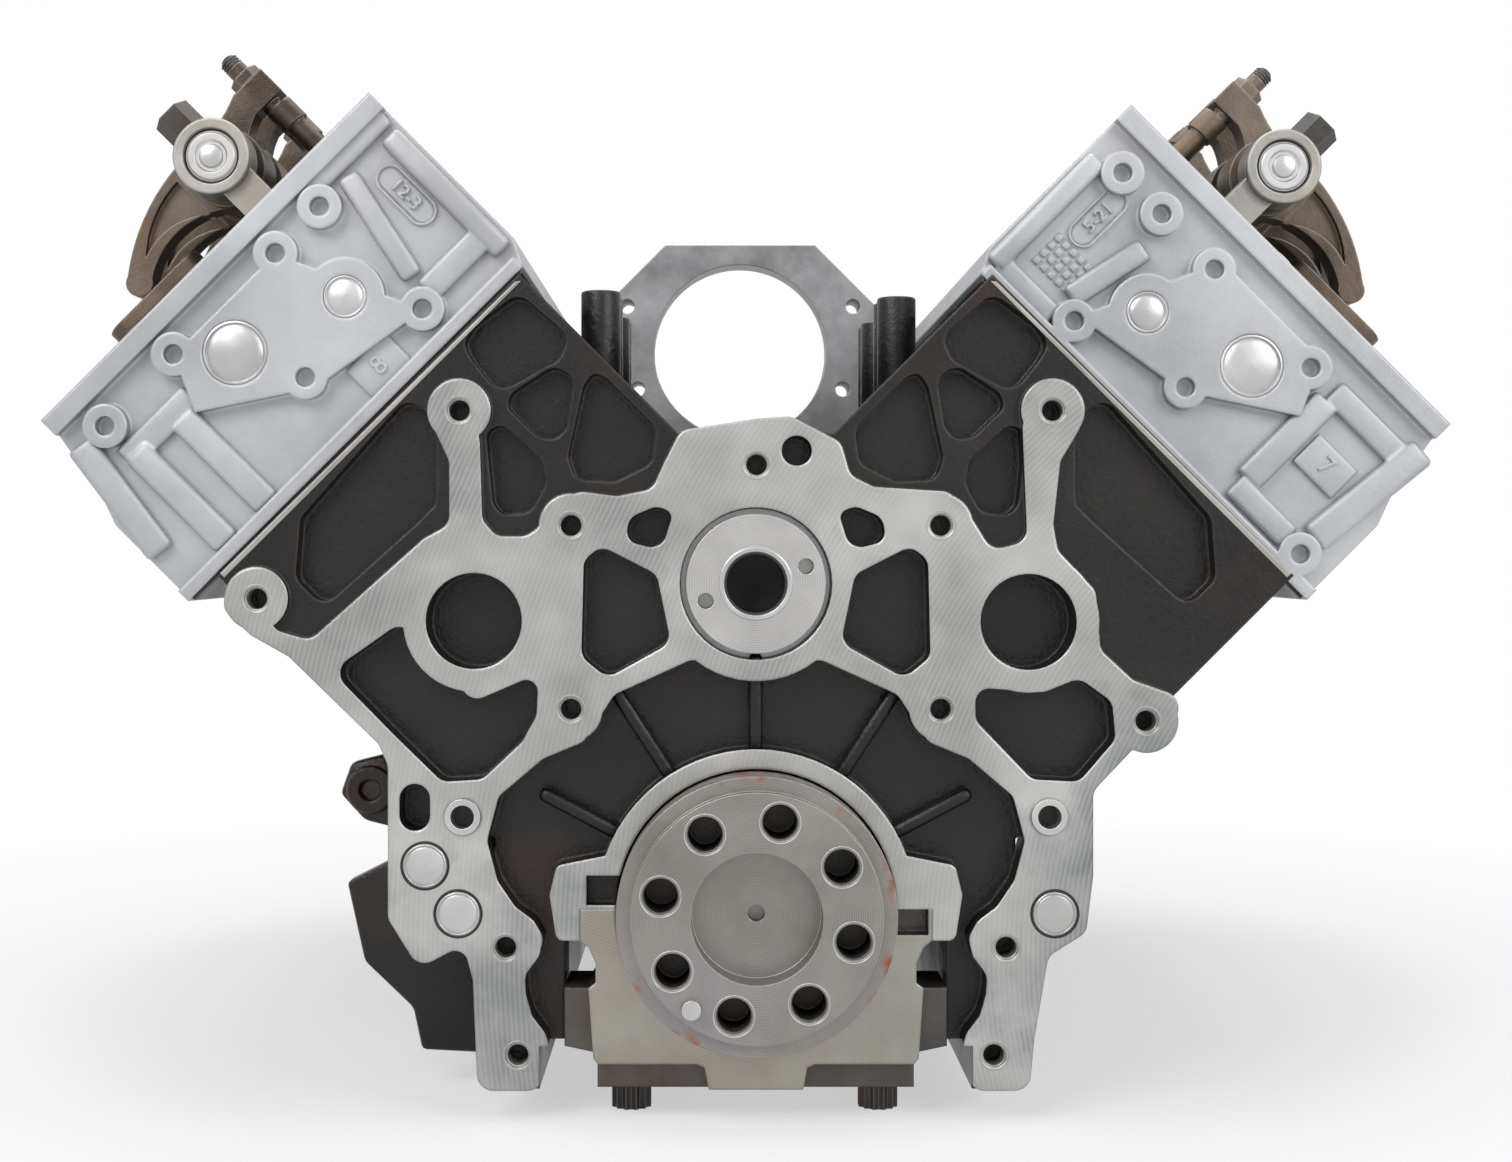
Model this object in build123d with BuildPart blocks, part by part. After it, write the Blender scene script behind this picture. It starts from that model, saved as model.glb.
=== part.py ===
from build123d import *
import math
import os

os.makedirs("parts", exist_ok=True)

# A 90 degree overhead-valve V8 long block, in millimetres. X runs to the right seen from the
# flywheel end, Y runs forward and Z up. The origin is the centre of the crank flange's rear face.
# A bank has its own axes: n runs up the cylinders from the crank axis, t runs across them, outboard.

# Bottom end
bore = 103.0
stroke = 99.0
rod_length = 163.0
bore_pitch = 117.0
bank_offset = 25.0
deck_height = 262.0
running_clearance = 0.05
seat_gap = 0.3

# Cylinder block
block_rear = 26.0
block_length = 530.0
flange_depth = 20.0
pocket_depth = 14.0
cast_step = 4.0
cast_corner = 7.0
bulkhead_thickness = 28.0
valley_half_width = 33.0
valley_floor = 202.0
bank_inner = -119.5
bank_outer = 62.0
bank_lower = 132.0
skirt_outer = 112.0
skirt_inner = 92.0
skirt_bottom = -77.0
crankcase_radius = 88.0
rear_cylinder_y = 101.0

# Crankshaft
main_journal_radius = 40.0
main_journal_length = 28.0
crankpin_radius = 31.5
crankpin_length = 52.0
seal_journal_radius = 58.5
seal_journal_end = 38.0
flange_face_radius = 52.3
flange_step = 5.0
flange_bolt_circle = 82.0
flange_bolt_count = 8
flange_hole_radius = 7.6
flange_hole_angle = 31.6
flange_recess_radius = 27.3
flange_recess_depth = 16.0
flange_hole_depth = 25.0
centre_drill_radius = 3.5
flange_dowel_radius = 4.0
flange_dowel_place = 45.7
flange_dowel_angle = -126.4
web_radius = 46.0
web_pin_radius = 34.5
counterweight_radius = 83.0
counterweight_angle = 104.0
snout_radius = 22.0
snout_length = 66.0
snout_seat_radius = 20.0
snout_seat_length = 30.0
bearing_wall = 3.0

# Camshaft and timing gears
gear_module = 4.0
crank_gear_teeth = 23
cam_gear_teeth = 46
pump_gear_teeth = 28
gear_width = 20.0
gear_case_depth = gear_width + 8
cover_wall = 8.0
seal_wall = 10.0
seal_width = 7.0
pump_opening_radius = 57.8
pump_seat_radius = 60.0
cam_journal_radius = 29.7
cam_bearing_wall = 2.6
cam_core_radius = 19.0
cam_base_radius = 22.0
cam_lift = 6.6
cam_nose_radius = 8.0
cam_hole_radius = 13.5
lobe_width = 15.0

# Main bearing caps
cap_half_width = 71.0
cap_bottom = -76.5
rear_cap_half_width = 74.5
rear_cap_machined = -65.7
rear_cap_setback = 5.0
rear_slot_half_width = 82.0
bulkhead_bottom = -58.0
pad_outer = 84.5
pad_top = 18.5
pad_bottom = -13.3
window_depth = 8.0
cap_bolt_x = 53.7
cap_bolt_radius = 6.0
cap_washer_radius = 11.3
cap_washer_height = 3.5
cap_head_radius = 7.6
cap_head_height = 10.4
cap_bolt_depth = 42.0

# Pistons
pin_radius = 17.0
pin_length = 78.0
compression_height = 49.2
skirt_below_pin = 27.0
crown_thickness = 14.0
piston_wall = 6.0
piston_bowl_radius = 29.0
piston_bowl_depth = 15.0
ring_count = 3
ring_height = 2.5
ring_spacing = 8.0
ring_stand = 0.03

# Cylinder heads
gasket_thickness = 1.5
end_bolt_reach = 50.0
head_end_margin = 19.0
head_height = 99.0
head_inner = -129.0
head_end_wall = 8.0
head_end_step = 6.0
port_height = 44.0
port_roof = 30.0
seat_depth = 5.0
head_outer = 79.0
head_rail_outer = 69.0
head_wall = 9.0
spring_seat = 64.0
head_bolt_inner = -40.0
head_bolt_outer = 50.0
head_bolt_radius = 6.0
head_bolt_head_radius = 9.5
head_bolt_head_height = 11.0
head_bolt_thread = 60.0
bolt_sides = 12

# Valve train
valve_pair_t = 38.0
valve_mid_t = 1.0
valve_row_y = 19.5
valve_head_radius = 16.0
valve_margin = 1.5
valve_head_height = 10.0
valve_stem_radius = 3.5
valve_tip = 110.0
spring_radius = 14.5
spring_wire = 3.6
spring_top = 104.0
spring_sides = 14
retainer_radius = 15.0
retainer_height = 4.5
bridge_half_width = 8.0
bridge_top = 116.0
lifter_radius = 11.0
lifter_gap = 1.4
lifter_length = 54.0
pushrod_radius = 4.75
pushrod_cup_radius = 6.6
pushrod_cup_height = 11.0
rocker_shaft_radius = 11.0
rocker_shaft_t = -62.0
rocker_shaft_n = 130.0
rocker_hub_radius = 17.5
rocker_width = 24.0
rocker_tip_t = 2.0
adjuster_t = -96.0
adjuster_top = 162.0
stand_width = 16.0
stand_depth = 13.0
stand_bolt_radius = 5.0
stand_bolt_top = 158.0
stand_bolt_thread = 14.0
valve_recess = 0.5
roller_radius = 9.0
roller_width = 8.0
rocker_arm_width = 14.0
rocker_tip_radius = 6.0
web_recess = 3.5
adjuster_radius = 4.5
adjuster_bottom = 136.0
adjuster_nut = 152.0
adjuster_nut_radius = 7.5
adjuster_nut_height = 5.0

# Derived places
half_root = math.sqrt(0.5)
block_front = block_rear + block_length
bay_length = bore_pitch - bulkhead_thickness
cylinder_radius = bore / 2
crank_throw = stroke / 2
throw_places = [rear_cylinder_y + bank_offset / 2 + bore_pitch * k for k in range(4)]
main_places = [throw_places[0] + bore_pitch * (k - 0.5) for k in range(5)]
throw_angles = [90.0, 0.0, 180.0, 270.0]
main_bore_radius = main_journal_radius + running_clearance + bearing_wall
rear_cap_end = main_places[0] + main_journal_length / 2
cam_height = gear_module * (crank_gear_teeth + cam_gear_teeth) / 2
pump_height = cam_height + gear_module * (cam_gear_teeth + pump_gear_teeth) / 2
snout_seat_start = block_front + snout_length - snout_seat_length
cam_tunnel_radius = cam_journal_radius + running_clearance + cam_bearing_wall
cam_line = cam_height * half_root
cam_nose_reach = cam_base_radius + cam_lift
lifter_bottom = cam_line + cam_nose_reach + lifter_gap
head_deck = deck_height + gasket_thickness
head_length = 3 * bore_pitch + 2 * (end_bolt_reach + head_end_margin)
sides = ((-1, "left"), (1, "right"))


def stand_places(side):
    rows = cylinder_places(side)
    between = [y + bore_pitch / 2 for y in rows[:-1]]
    return [rows[0] - end_bolt_reach, *between, rows[-1] + end_bolt_reach]


def cylinder_places(side):
    shift = bank_offset if side > 0 else 0.0
    return [rear_cylinder_y + shift + bore_pitch * k for k in range(4)]


def bolt_places(side):
    return [(side * t, y) for y in stand_places(side) for t in (head_bolt_inner, head_bolt_outer)]


def rear_plane(y):
    return Plane(origin=(0, y, 0), x_dir=(1, 0, 0), z_dir=(0, -1, 0))


def bank_end_plane(side, y):
    return Plane(origin=(0, y, 0), x_dir=(half_root, 0, -side * half_root), z_dir=(0, -1, 0))


def bank_plane(side, n):
    return Plane(
        origin=(side * half_root * n, 0, half_root * n),
        x_dir=(half_root, 0, -side * half_root),
        z_dir=(side * half_root, 0, half_root),
    )


def bank_point(t, n):
    return (half_root * (n + t), half_root * (n - t))


def bank_axis(side, t, y):
    plane = bank_plane(side, 0)
    return Axis(plane.from_local_coords((t, y, 0)), plane.z_dir)


def polar(radius, angle):
    return (radius * math.cos(math.radians(angle)), radius * math.sin(math.radians(angle)))


def rounded(points, radius):
    corners = []
    for before, here, after in zip(points[-1:] + points[:-1], points, points[1:] + points[:1]):
        arriving = Vector(*here) - Vector(*before)
        leaving = Vector(*after) - Vector(*here)
        turn = math.radians(arriving.get_angle(leaving))
        room = 0.45 * min(arriving.length, leaving.length) / math.tan(turn / 2)
        corners.append(min(radius, room))
    return FilletPolyline(*points, radius=corners, close=True)


def write(piece, name):
    piece.part.label = name
    export_step(piece.part, f"parts/{name}.step")


def write_together(pieces, name):
    group = Compound(label=name, children=[piece.part for piece in pieces])
    export_step(group, f"parts/{name}.step")


# Places on the rear face, as x and z
body_outline = [
    (0, valley_floor),
    (valley_half_width, valley_floor),
    bank_point(bank_inner, deck_height),
    bank_point(bank_outer, deck_height),
    bank_point(bank_outer, bank_lower),
    (skirt_outer, 28),
    (skirt_outer, skirt_bottom),
    (0, skirt_bottom),
]
arch_edge = [
    (0, 97.7), (27, 106), (60, 91), (73, 71), (90, 64), (109, 48), (114, 29), (109.5, 12), (102, 1),
    (94, -5), (90, -12), (92, -20), (98, -28), (97.5, -36), (95, -45), (89, -53), (87, -62), (92, -77),
]
left_flange = [
    (0, 208), (-32, 203), (-39, 189), (-44, 178), (-59, 175), (-74, 177), (-86, 173), (-93, 161),
    (-98, 158), (-110, 158), (-116, 165), (-117, 197), (-120, 220), (-134, 219), (-137, 205), (-130, 190),
    (-130, 163), (-141, 157), (-189, 114), (-203, 118), (-221, 141), (-227, 128), (-214, 116), (-198, 107),
    (-160, 70), (-156, 61), (-156, -4), (-143, -25), (-124, -15), (-120, -30), (-118, -77),
]
right_flange = [
    (116, -77), (118, -55), (124, -20), (140, -10), (143, 14), (143, 50), (160, 68), (177, 72), (180, 90),
    (160, 97), (146, 110), (144, 135), (128, 152), (126, 163), (129, 190), (138, 205), (134, 219),
    (118, 220), (113, 205), (115, 156), (100, 152), (92, 165), (82, 177), (50, 179), (40, 184), (36, 198),
    (15, 209),
]
arch_left = [(-x, z) for x, z in arch_edge[::-1]]
wall_pockets = [
    [(101, 262), (79, 243), (84, 233), (106, 221), (112, 222), (120, 232), (125, 240), (120, 248)],
    [(86, 231), (77, 226), (80.5, 204), (85.5, 199), (92.5, 200), (106, 213), (104.5, 219)],
    [(69.5, 228), (64, 226), (42, 204), (44, 189), (60, 181), (77, 182), (80, 192), (73.5, 222)],
    [(115, 203), (108, 206), (91, 191), (89, 181), (96, 168), (108, 167), (112, 172)],
    [(150, 216), (141, 213), (136, 200), (136, 172), (145, 163), (184, 128), (196, 140), (194, 166)],
]
pocket_left_port = [
    (-150, 122), (-120, 88), (-92, 100), (-93, 82), (-99, 71), (-116, 55), (-133, 54), (-153, 73.5),
    (-180, 101),
]
pocket_side_left = [(-65.5, 154), (-42, 142), (-36, 113), (-63, 98), (-74, 107), (-73, 148)]
pocket_top_left = [(-54, 166), (-42, 171), (-35, 168), (-40, 152), (-55, 156)]
pocket_right_port = [(93, 94), (122, 92), (137, 98), (151, 88), (152.5, 72), (137, 54), (117, 55), (93, 80)]
left_port = (-119.6, 122.2)
right_port = (115.6, 121.8)
port_radius = 20.4
port_ring_radius = 30.0
bell_holes = [
    (0.3, 188.5), (-125.9, 211.5), (125.9, 211.5), (-78.5, 162.7), (78.5, 162.7), (-78.5, 84.7),
    (78.5, 84.7), (-106.2, -16.4), (106.2, -16.4), (-101, -62), (101, -62), (-211.9, 131.6),
    (165.6, 79.7),
]
bell_hole_radius = 5.0
bell_hole_depth = 16.0
bell_dowels = [(-124.3, 39.2), (124.3, 39.2)]
dowel_outer = 7.6
dowel_inner = 5.0
rear_plugs = [(-140.5, 17.5), (-126.6, -1.7), (126.7, -2.0)]
plug_radius = 8.8
plug_length = 8.0
oil_hole = (17.3, 194.4)
side_slot = (-144.6, 43.2)
seal_arch_radius = 67.8
boss_radius = 13.5


with BuildPart() as cylinder_block:
    # The V body, solid between the faces
    with BuildSketch(rear_plane(block_rear + flange_depth)):
        with BuildLine():
            Polyline(*body_outline, close=True)
        make_face()
        mirror(about=Plane.YZ)
    extrude(amount=-(block_length - flange_depth))
    # The cast wall round the rear flange, set back from the machined face, with ribs between its pockets
    with BuildSketch(rear_plane(block_rear + cast_step)):
        with BuildLine():
            Polyline(*body_outline, close=True)
        make_face()
        mirror(about=Plane.YZ)
        with BuildLine():
            Polyline(*arch_left[:-1], *arch_edge, close=True)
        make_face(mode=Mode.SUBTRACT)
        for pocket in (pocket_left_port, pocket_right_port):
            with BuildLine():
                rounded(pocket, cast_corner)
            make_face(mode=Mode.SUBTRACT)
        for pocket in (pocket_side_left, pocket_top_left, *wall_pockets):
            for turned in (pocket, [(-x, z) for x, z in pocket]):
                with BuildLine():
                    rounded(turned, cast_corner)
                make_face(mode=Mode.SUBTRACT)
    extrude(amount=-(pocket_depth - cast_step))
    with BuildSketch(rear_plane(block_rear + pocket_depth)):
        with BuildLine():
            Polyline(*body_outline, close=True)
        make_face()
        mirror(about=Plane.YZ)
    extrude(amount=-(flange_depth - pocket_depth))
    # The machined flange with its ears
    with BuildSketch(rear_plane(block_rear)) as flange_face:
        with BuildLine():
            rounded(left_flange + arch_left + arch_edge[1:] + right_flange, cast_corner)
        make_face()
        with Locations(*bell_holes[1:]):
            Circle(boss_radius)
        with Locations(left_port, right_port):
            Circle(port_ring_radius)
        with Locations((0, cam_height)):
            Circle(cam_tunnel_radius + 9)
        for pocket in (pocket_left_port, pocket_side_left, pocket_top_left, pocket_right_port):
            with BuildLine():
                rounded(pocket, cast_corner)
            make_face(mode=Mode.SUBTRACT)
        for pocket in (pocket_side_left, pocket_top_left):
            with BuildLine():
                rounded([(-x, z) for x, z in pocket], cast_corner)
            make_face(mode=Mode.SUBTRACT)
        with Locations(left_port, right_port):
            Circle(port_ring_radius)
    extrude(amount=-flange_depth)
    # The seal arch round the crank, with a pad on either side that locates the rear cap
    with BuildSketch(rear_plane(block_rear)):
        Circle(seal_arch_radius)
        with BuildLine():
            rounded(
                [(-pad_outer, pad_top), (-62, 23), (0, 40), (62, 23), (pad_outer, pad_top), (pad_outer + 3, 6),
                 (pad_outer, pad_bottom), (-pad_outer, pad_bottom), (-pad_outer - 3, 6)], cast_corner / 2,
            )
        make_face()
        with Locations((0, pad_bottom - seal_arch_radius)):
            Rectangle(3 * seal_arch_radius, 2 * seal_arch_radius, mode=Mode.SUBTRACT)
    extrude(amount=-flange_depth)
    # Crankcase, open below: a slot for the rear cap, then the space between the skirts
    with BuildSketch(rear_plane(block_rear)):
        with Locations((0, pad_bottom / 2)):
            Rectangle(2 * (rear_cap_half_width + running_clearance), -pad_bottom)
        with Locations((0, (pad_bottom + skirt_bottom) / 2)):
            Rectangle(2 * rear_slot_half_width, pad_bottom - skirt_bottom)
    extrude(amount=-block_length, mode=Mode.SUBTRACT)
    with BuildSketch(rear_plane(block_rear)):
        with Locations((0, (bulkhead_bottom + skirt_bottom) / 2)):
            Rectangle(2 * skirt_inner, bulkhead_bottom - skirt_bottom)
    extrude(amount=-block_length, mode=Mode.SUBTRACT)
    with BuildSketch(rear_plane(main_places[0] + bulkhead_thickness / 2)):
        with Locations((0, skirt_bottom / 2)):
            Rectangle(2 * skirt_inner, -skirt_bottom)
    extrude(amount=-block_length, mode=Mode.SUBTRACT)
    for y in throw_places:
        with BuildSketch(rear_plane(y - bay_length / 2)):
            Circle(crankcase_radius)
        extrude(amount=-bay_length, mode=Mode.SUBTRACT)
    # Main bearing line, seal counterbore and cam tunnel
    with BuildSketch(rear_plane(block_rear)):
        Circle(main_bore_radius)
        with Locations((0, cam_height)):
            Circle(cam_tunnel_radius)
    extrude(amount=-block_length, mode=Mode.SUBTRACT)
    with BuildSketch(rear_plane(block_rear)):
        Circle(seal_journal_radius + 1)
    extrude(amount=-(seal_journal_end - block_rear + 1), mode=Mode.SUBTRACT)
    for side, bank in sides:
        # Cylinders, lifter bores and the wells that the pushrods rise through
        with BuildSketch(bank_plane(side, crankcase_radius - 20)):
            with Locations(*[(0, y) for y in cylinder_places(side)]):
                Circle(cylinder_radius)
        extrude(amount=deck_height, mode=Mode.SUBTRACT)
        with BuildSketch(bank_plane(side, cam_line)):
            for y in cylinder_places(side):
                with Locations((-side * cam_line, y - valve_row_y), (-side * cam_line, y + valve_row_y)):
                    Circle(lifter_radius + running_clearance)
        extrude(amount=deck_height, mode=Mode.SUBTRACT)
        with BuildSketch(bank_plane(side, lifter_bottom + lifter_length + 8)):
            with Locations(*[(-side * cam_line, y) for y in cylinder_places(side)]):
                SlotOverall(2 * valve_row_y + 30, 26, rotation=90)
        extrude(amount=deck_height, mode=Mode.SUBTRACT)
        # Threads for the head bolts
        with BuildSketch(bank_plane(side, deck_height)):
            with Locations(*bolt_places(side)):
                Circle(head_bolt_radius + running_clearance)
        extrude(amount=-head_bolt_thread - 4, mode=Mode.SUBTRACT)
    # Coolant ports, bolt holes, dowel holes and plug seats in the rear face
    with BuildSketch(rear_plane(block_rear)):
        with Locations(left_port, right_port):
            Circle(port_radius)
    extrude(amount=-flange_depth, mode=Mode.SUBTRACT)
    with BuildSketch(rear_plane(block_rear)):
        with Locations(*bell_holes):
            Circle(bell_hole_radius)
        with Locations(oil_hole):
            Circle(6.4)
        with Locations(side_slot):
            SlotOverall(20, 13, rotation=90)
    extrude(amount=-bell_hole_depth, mode=Mode.SUBTRACT)
    with BuildSketch(rear_plane(block_rear)):
        with Locations(*bell_dowels):
            Circle(dowel_outer)
        with Locations(*rear_plugs):
            Circle(plug_radius)
    extrude(amount=-plug_length, mode=Mode.SUBTRACT)
    # The window between the left pad and the seal
    with BuildSketch(rear_plane(block_rear)):
        with Locations((-64.8, 8)):
            Rectangle(14, 12.6)
    extrude(amount=-window_depth, mode=Mode.SUBTRACT)
    # Threads for the main cap bolts
    with BuildSketch(Plane.XY):
        for y in main_places:
            with Locations((-cap_bolt_x, y), (cap_bolt_x, y)):
                Circle(cap_bolt_radius + running_clearance)
    extrude(amount=cap_bolt_depth + 4, mode=Mode.SUBTRACT)
write(cylinder_block, "cylinder_block")


# Main caps, the rear one wider, each hanging from its wall of the crankcase
def main_cap(places):
    with BuildPart() as caps:
        for y in places:
            with BuildSketch(rear_plane(y - main_journal_length / 2)):
                with BuildLine():
                    Polyline(
                        (-cap_half_width, 0), (cap_half_width, 0), (cap_half_width, -13),
                        (cap_half_width - 4, cap_bottom), (4 - cap_half_width, cap_bottom),
                        (-cap_half_width, -13), close=True,
                    )
                make_face()
                Circle(main_bore_radius, mode=Mode.SUBTRACT)
            extrude(amount=-main_journal_length)
        with BuildSketch(Plane.XY):
            for y in places:
                with Locations((-cap_bolt_x, y), (cap_bolt_x, y)):
                    Circle(cap_bolt_radius + running_clearance)
        extrude(amount=cap_bottom * 2, mode=Mode.SUBTRACT)
    return caps


write(main_cap(main_places[1:]), "main_caps")

# The rear cap comes flush with the block's rear face. Its rough sides and lip stand back from there
cap_edge = [
    (rear_cap_half_width, 0), (rear_cap_half_width, pad_bottom), (71, -16.3), (68, -22.6), (68, -31.2),
    (71, -33.5), (69, rear_cap_machined + 2.4), (67, rear_cap_machined), (25, rear_cap_machined),
    (21.7, rear_cap_machined - 1.5), (20, cap_bottom),
]
lug_edge = [(60, -34.3), (81.5, -34.3), (81.5, -59), (67.4, -62), (67.4, cap_bottom), (60, cap_bottom)]
with BuildPart() as rear_main_cap:
    with BuildSketch(rear_plane(block_rear)):
        with BuildLine():
            Polyline(*cap_edge, *[(-x, z) for x, z in cap_edge[::-1]], close=True)
        make_face()
        with Locations((66.5, -5.5)):
            Rectangle(13, 11, mode=Mode.SUBTRACT)
    extrude(amount=-window_depth)
    with BuildSketch(rear_plane(block_rear + rear_cap_setback)):
        with BuildLine():
            Polyline(*lug_edge, *[(-x, z) for x, z in lug_edge[::-1]], close=True)
        make_face()
    extrude(amount=-(rear_cap_end - block_rear - rear_cap_setback))
    with BuildSketch(rear_plane(block_rear + window_depth)):
        with BuildLine():
            Polyline(*cap_edge, *[(-x, z) for x, z in cap_edge[::-1]], close=True)
        make_face()
    extrude(amount=-(rear_cap_end - block_rear - window_depth))
    with BuildSketch(rear_plane(block_rear)):
        Circle(main_bore_radius)
    extrude(amount=-block_length, mode=Mode.SUBTRACT)
    with BuildSketch(rear_plane(block_rear)):
        Circle(seal_journal_radius + 1)
    extrude(amount=-(seal_journal_end - block_rear + 1), mode=Mode.SUBTRACT)
    with BuildSketch(Plane.XY):
        with Locations((-cap_bolt_x, main_places[0]), (cap_bolt_x, main_places[0])):
            Circle(cap_bolt_radius + running_clearance)
    extrude(amount=cap_bottom * 2, mode=Mode.SUBTRACT)
write(rear_main_cap, "rear_main_cap")

with BuildPart() as main_cap_bolts:
    for y in main_places:
        with BuildSketch(Plane.XY.offset(cap_bottom)):
            with Locations((-cap_bolt_x, y), (cap_bolt_x, y)):
                RegularPolygon(cap_bolt_radius, bolt_sides)
        extrude(amount=cap_bolt_depth - cap_bottom)
        with BuildSketch(Plane.XY.offset(cap_bottom)):
            with Locations((-cap_bolt_x, y), (cap_bolt_x, y)):
                Circle(cap_washer_radius)
        extrude(amount=-cap_washer_height)
        with BuildSketch(Plane.XY.offset(cap_bottom - cap_washer_height)):
            with Locations((-cap_bolt_x, y), (cap_bolt_x, y)):
                RegularPolygon(cap_head_radius, 12)
        extrude(amount=-cap_head_height)
write(main_cap_bolts, "main_cap_bolts")

with BuildPart() as main_bearings:
    for y in main_places:
        with BuildSketch(rear_plane(y - main_journal_length / 2 + 2)):
            Circle(main_bore_radius)
            Circle(main_journal_radius + running_clearance, mode=Mode.SUBTRACT)
        extrude(amount=4 - main_journal_length)
write(main_bearings, "main_bearings")

with BuildPart() as cam_bearings:
    for y in main_places:
        with BuildSketch(rear_plane(y - main_journal_length / 2)):
            with Locations((0, cam_height)):
                Circle(cam_tunnel_radius)
                Circle(cam_journal_radius + running_clearance, mode=Mode.SUBTRACT)
        extrude(amount=-main_journal_length)
write(cam_bearings, "cam_bearings")

# Plugs and sleeves pressed into the rear face
with BuildPart() as rear_core_plugs:
    with BuildSketch(rear_plane(block_rear)):
        with Locations(*rear_plugs):
            Circle(plug_radius)
    extrude(amount=-plug_length)
    with BuildSketch(rear_plane(block_rear)):
        with Locations(*rear_plugs):
            Circle(plug_radius - 1.2)
    extrude(amount=-2, mode=Mode.SUBTRACT)
write(rear_core_plugs, "rear_core_plugs")

with BuildPart() as dowel_sleeves:
    with BuildSketch(rear_plane(block_rear - 2)):
        with Locations(*bell_dowels):
            Circle(dowel_outer)
            Circle(dowel_inner, mode=Mode.SUBTRACT)
    extrude(amount=-(plug_length + 2))
write(dowel_sleeves, "dowel_sleeves")

# Crankshaft, four throws a quarter turn apart
with BuildPart() as crankshaft:
    with BuildSketch(rear_plane(0)):
        Circle(flange_face_radius)
    extrude(amount=-flange_step)
    with BuildSketch(rear_plane(flange_step)):
        Circle(seal_journal_radius)
    extrude(amount=-(seal_journal_end - flange_step))
    with BuildSketch(rear_plane(seal_journal_end)):
        Circle(main_journal_radius)
    extrude(amount=-(main_places[0] + main_journal_length / 2 - seal_journal_end))
    for y in main_places[1:]:
        with BuildSketch(rear_plane(y - main_journal_length / 2)):
            Circle(main_journal_radius)
        extrude(amount=-main_journal_length)
    for y, angle in zip(throw_places, throw_angles):
        pin = polar(crank_throw, angle)
        web_length = (bore_pitch - main_journal_length - crankpin_length) / 2
        with BuildSketch(rear_plane(y - crankpin_length / 2)):
            with Locations(pin):
                Circle(crankpin_radius)
        extrude(amount=-crankpin_length)
        for start in (y - crankpin_length / 2 - web_length, y + crankpin_length / 2):
            with BuildSketch(rear_plane(start)):
                with BuildLine():
                    Polyline(
                        polar(web_radius, angle + 90), polar(web_radius, angle - 90),
                        (pin[0] + polar(web_pin_radius, angle - 90)[0],
                         pin[1] + polar(web_pin_radius, angle - 90)[1]),
                        (pin[0] + polar(web_pin_radius, angle + 90)[0],
                         pin[1] + polar(web_pin_radius, angle + 90)[1]),
                        close=True,
                    )
                make_face()
                Circle(web_radius)
                with Locations(pin):
                    Circle(web_pin_radius)
                sweep_start = angle + 180 - counterweight_angle / 2
                with BuildLine():
                    Line((0, 0), polar(counterweight_radius, sweep_start))
                    CenterArc((0, 0), counterweight_radius, sweep_start, counterweight_angle)
                    Line(polar(counterweight_radius, sweep_start + counterweight_angle), (0, 0))
                make_face()
            extrude(amount=-web_length)
    with BuildSketch(rear_plane(main_places[4] + main_journal_length / 2)):
        Circle(snout_radius)
    extrude(amount=-(snout_seat_start - main_places[4] - main_journal_length / 2))
    with BuildSketch(rear_plane(snout_seat_start)):
        Circle(snout_seat_radius)
    extrude(amount=-snout_seat_length)
    with BuildSketch(rear_plane(0)):
        Circle(flange_recess_radius)
    extrude(amount=-flange_recess_depth, mode=Mode.SUBTRACT)
    with BuildSketch(rear_plane(0)):
        with PolarLocations(flange_bolt_circle / 2, flange_bolt_count, start_angle=flange_hole_angle):
            Circle(flange_hole_radius)
        with Locations(polar(flange_dowel_place, flange_dowel_angle)):
            Circle(flange_dowel_radius)
    extrude(amount=-flange_hole_depth, mode=Mode.SUBTRACT)
    with BuildSketch(rear_plane(flange_recess_depth)):
        Circle(centre_drill_radius)
    extrude(amount=-2 * centre_drill_radius, mode=Mode.SUBTRACT)
write(crankshaft, "crankshaft")

with BuildPart() as flange_dowel:
    with BuildSketch(rear_plane(-4)):
        with Locations(polar(flange_dowel_place, flange_dowel_angle)):
            Circle(flange_dowel_radius)
    extrude(amount=-flange_hole_depth)
write(flange_dowel, "flange_dowel")


# Timing gears: straight-sided teeth near the involute, with backlash at the pitch line
def gear(teeth, height, turn, hub_radius):
    pitch_radius = gear_module * teeth / 2
    tip = pitch_radius + 0.9 * gear_module
    root = pitch_radius - 1.25 * gear_module
    outline = []
    for k in range(teeth):
        middle = turn + 360.0 * k / teeth
        for radius, half_width in ((root, 0.95), (tip, 0.36)):
            outline.append(polar(radius, middle - math.degrees(half_width * gear_module / radius)))
        for radius, half_width in ((tip, 0.36), (root, 0.95)):
            outline.append(polar(radius, middle + math.degrees(half_width * gear_module / radius)))
    with BuildPart() as wheel:
        with BuildSketch(rear_plane(block_front + 4)):
            with BuildLine():
                Polyline(*[(x, z + height) for x, z in outline], close=True)
            make_face()
            with Locations((0, height)):
                Circle(hub_radius, mode=Mode.SUBTRACT)
        extrude(amount=-gear_width)
    return wheel


write(gear(crank_gear_teeth, 0, 90.0, snout_radius), "crank_gear")
write(gear(cam_gear_teeth, cam_height, 270.0 + 180.0 / cam_gear_teeth, cam_core_radius), "cam_gear")

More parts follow.
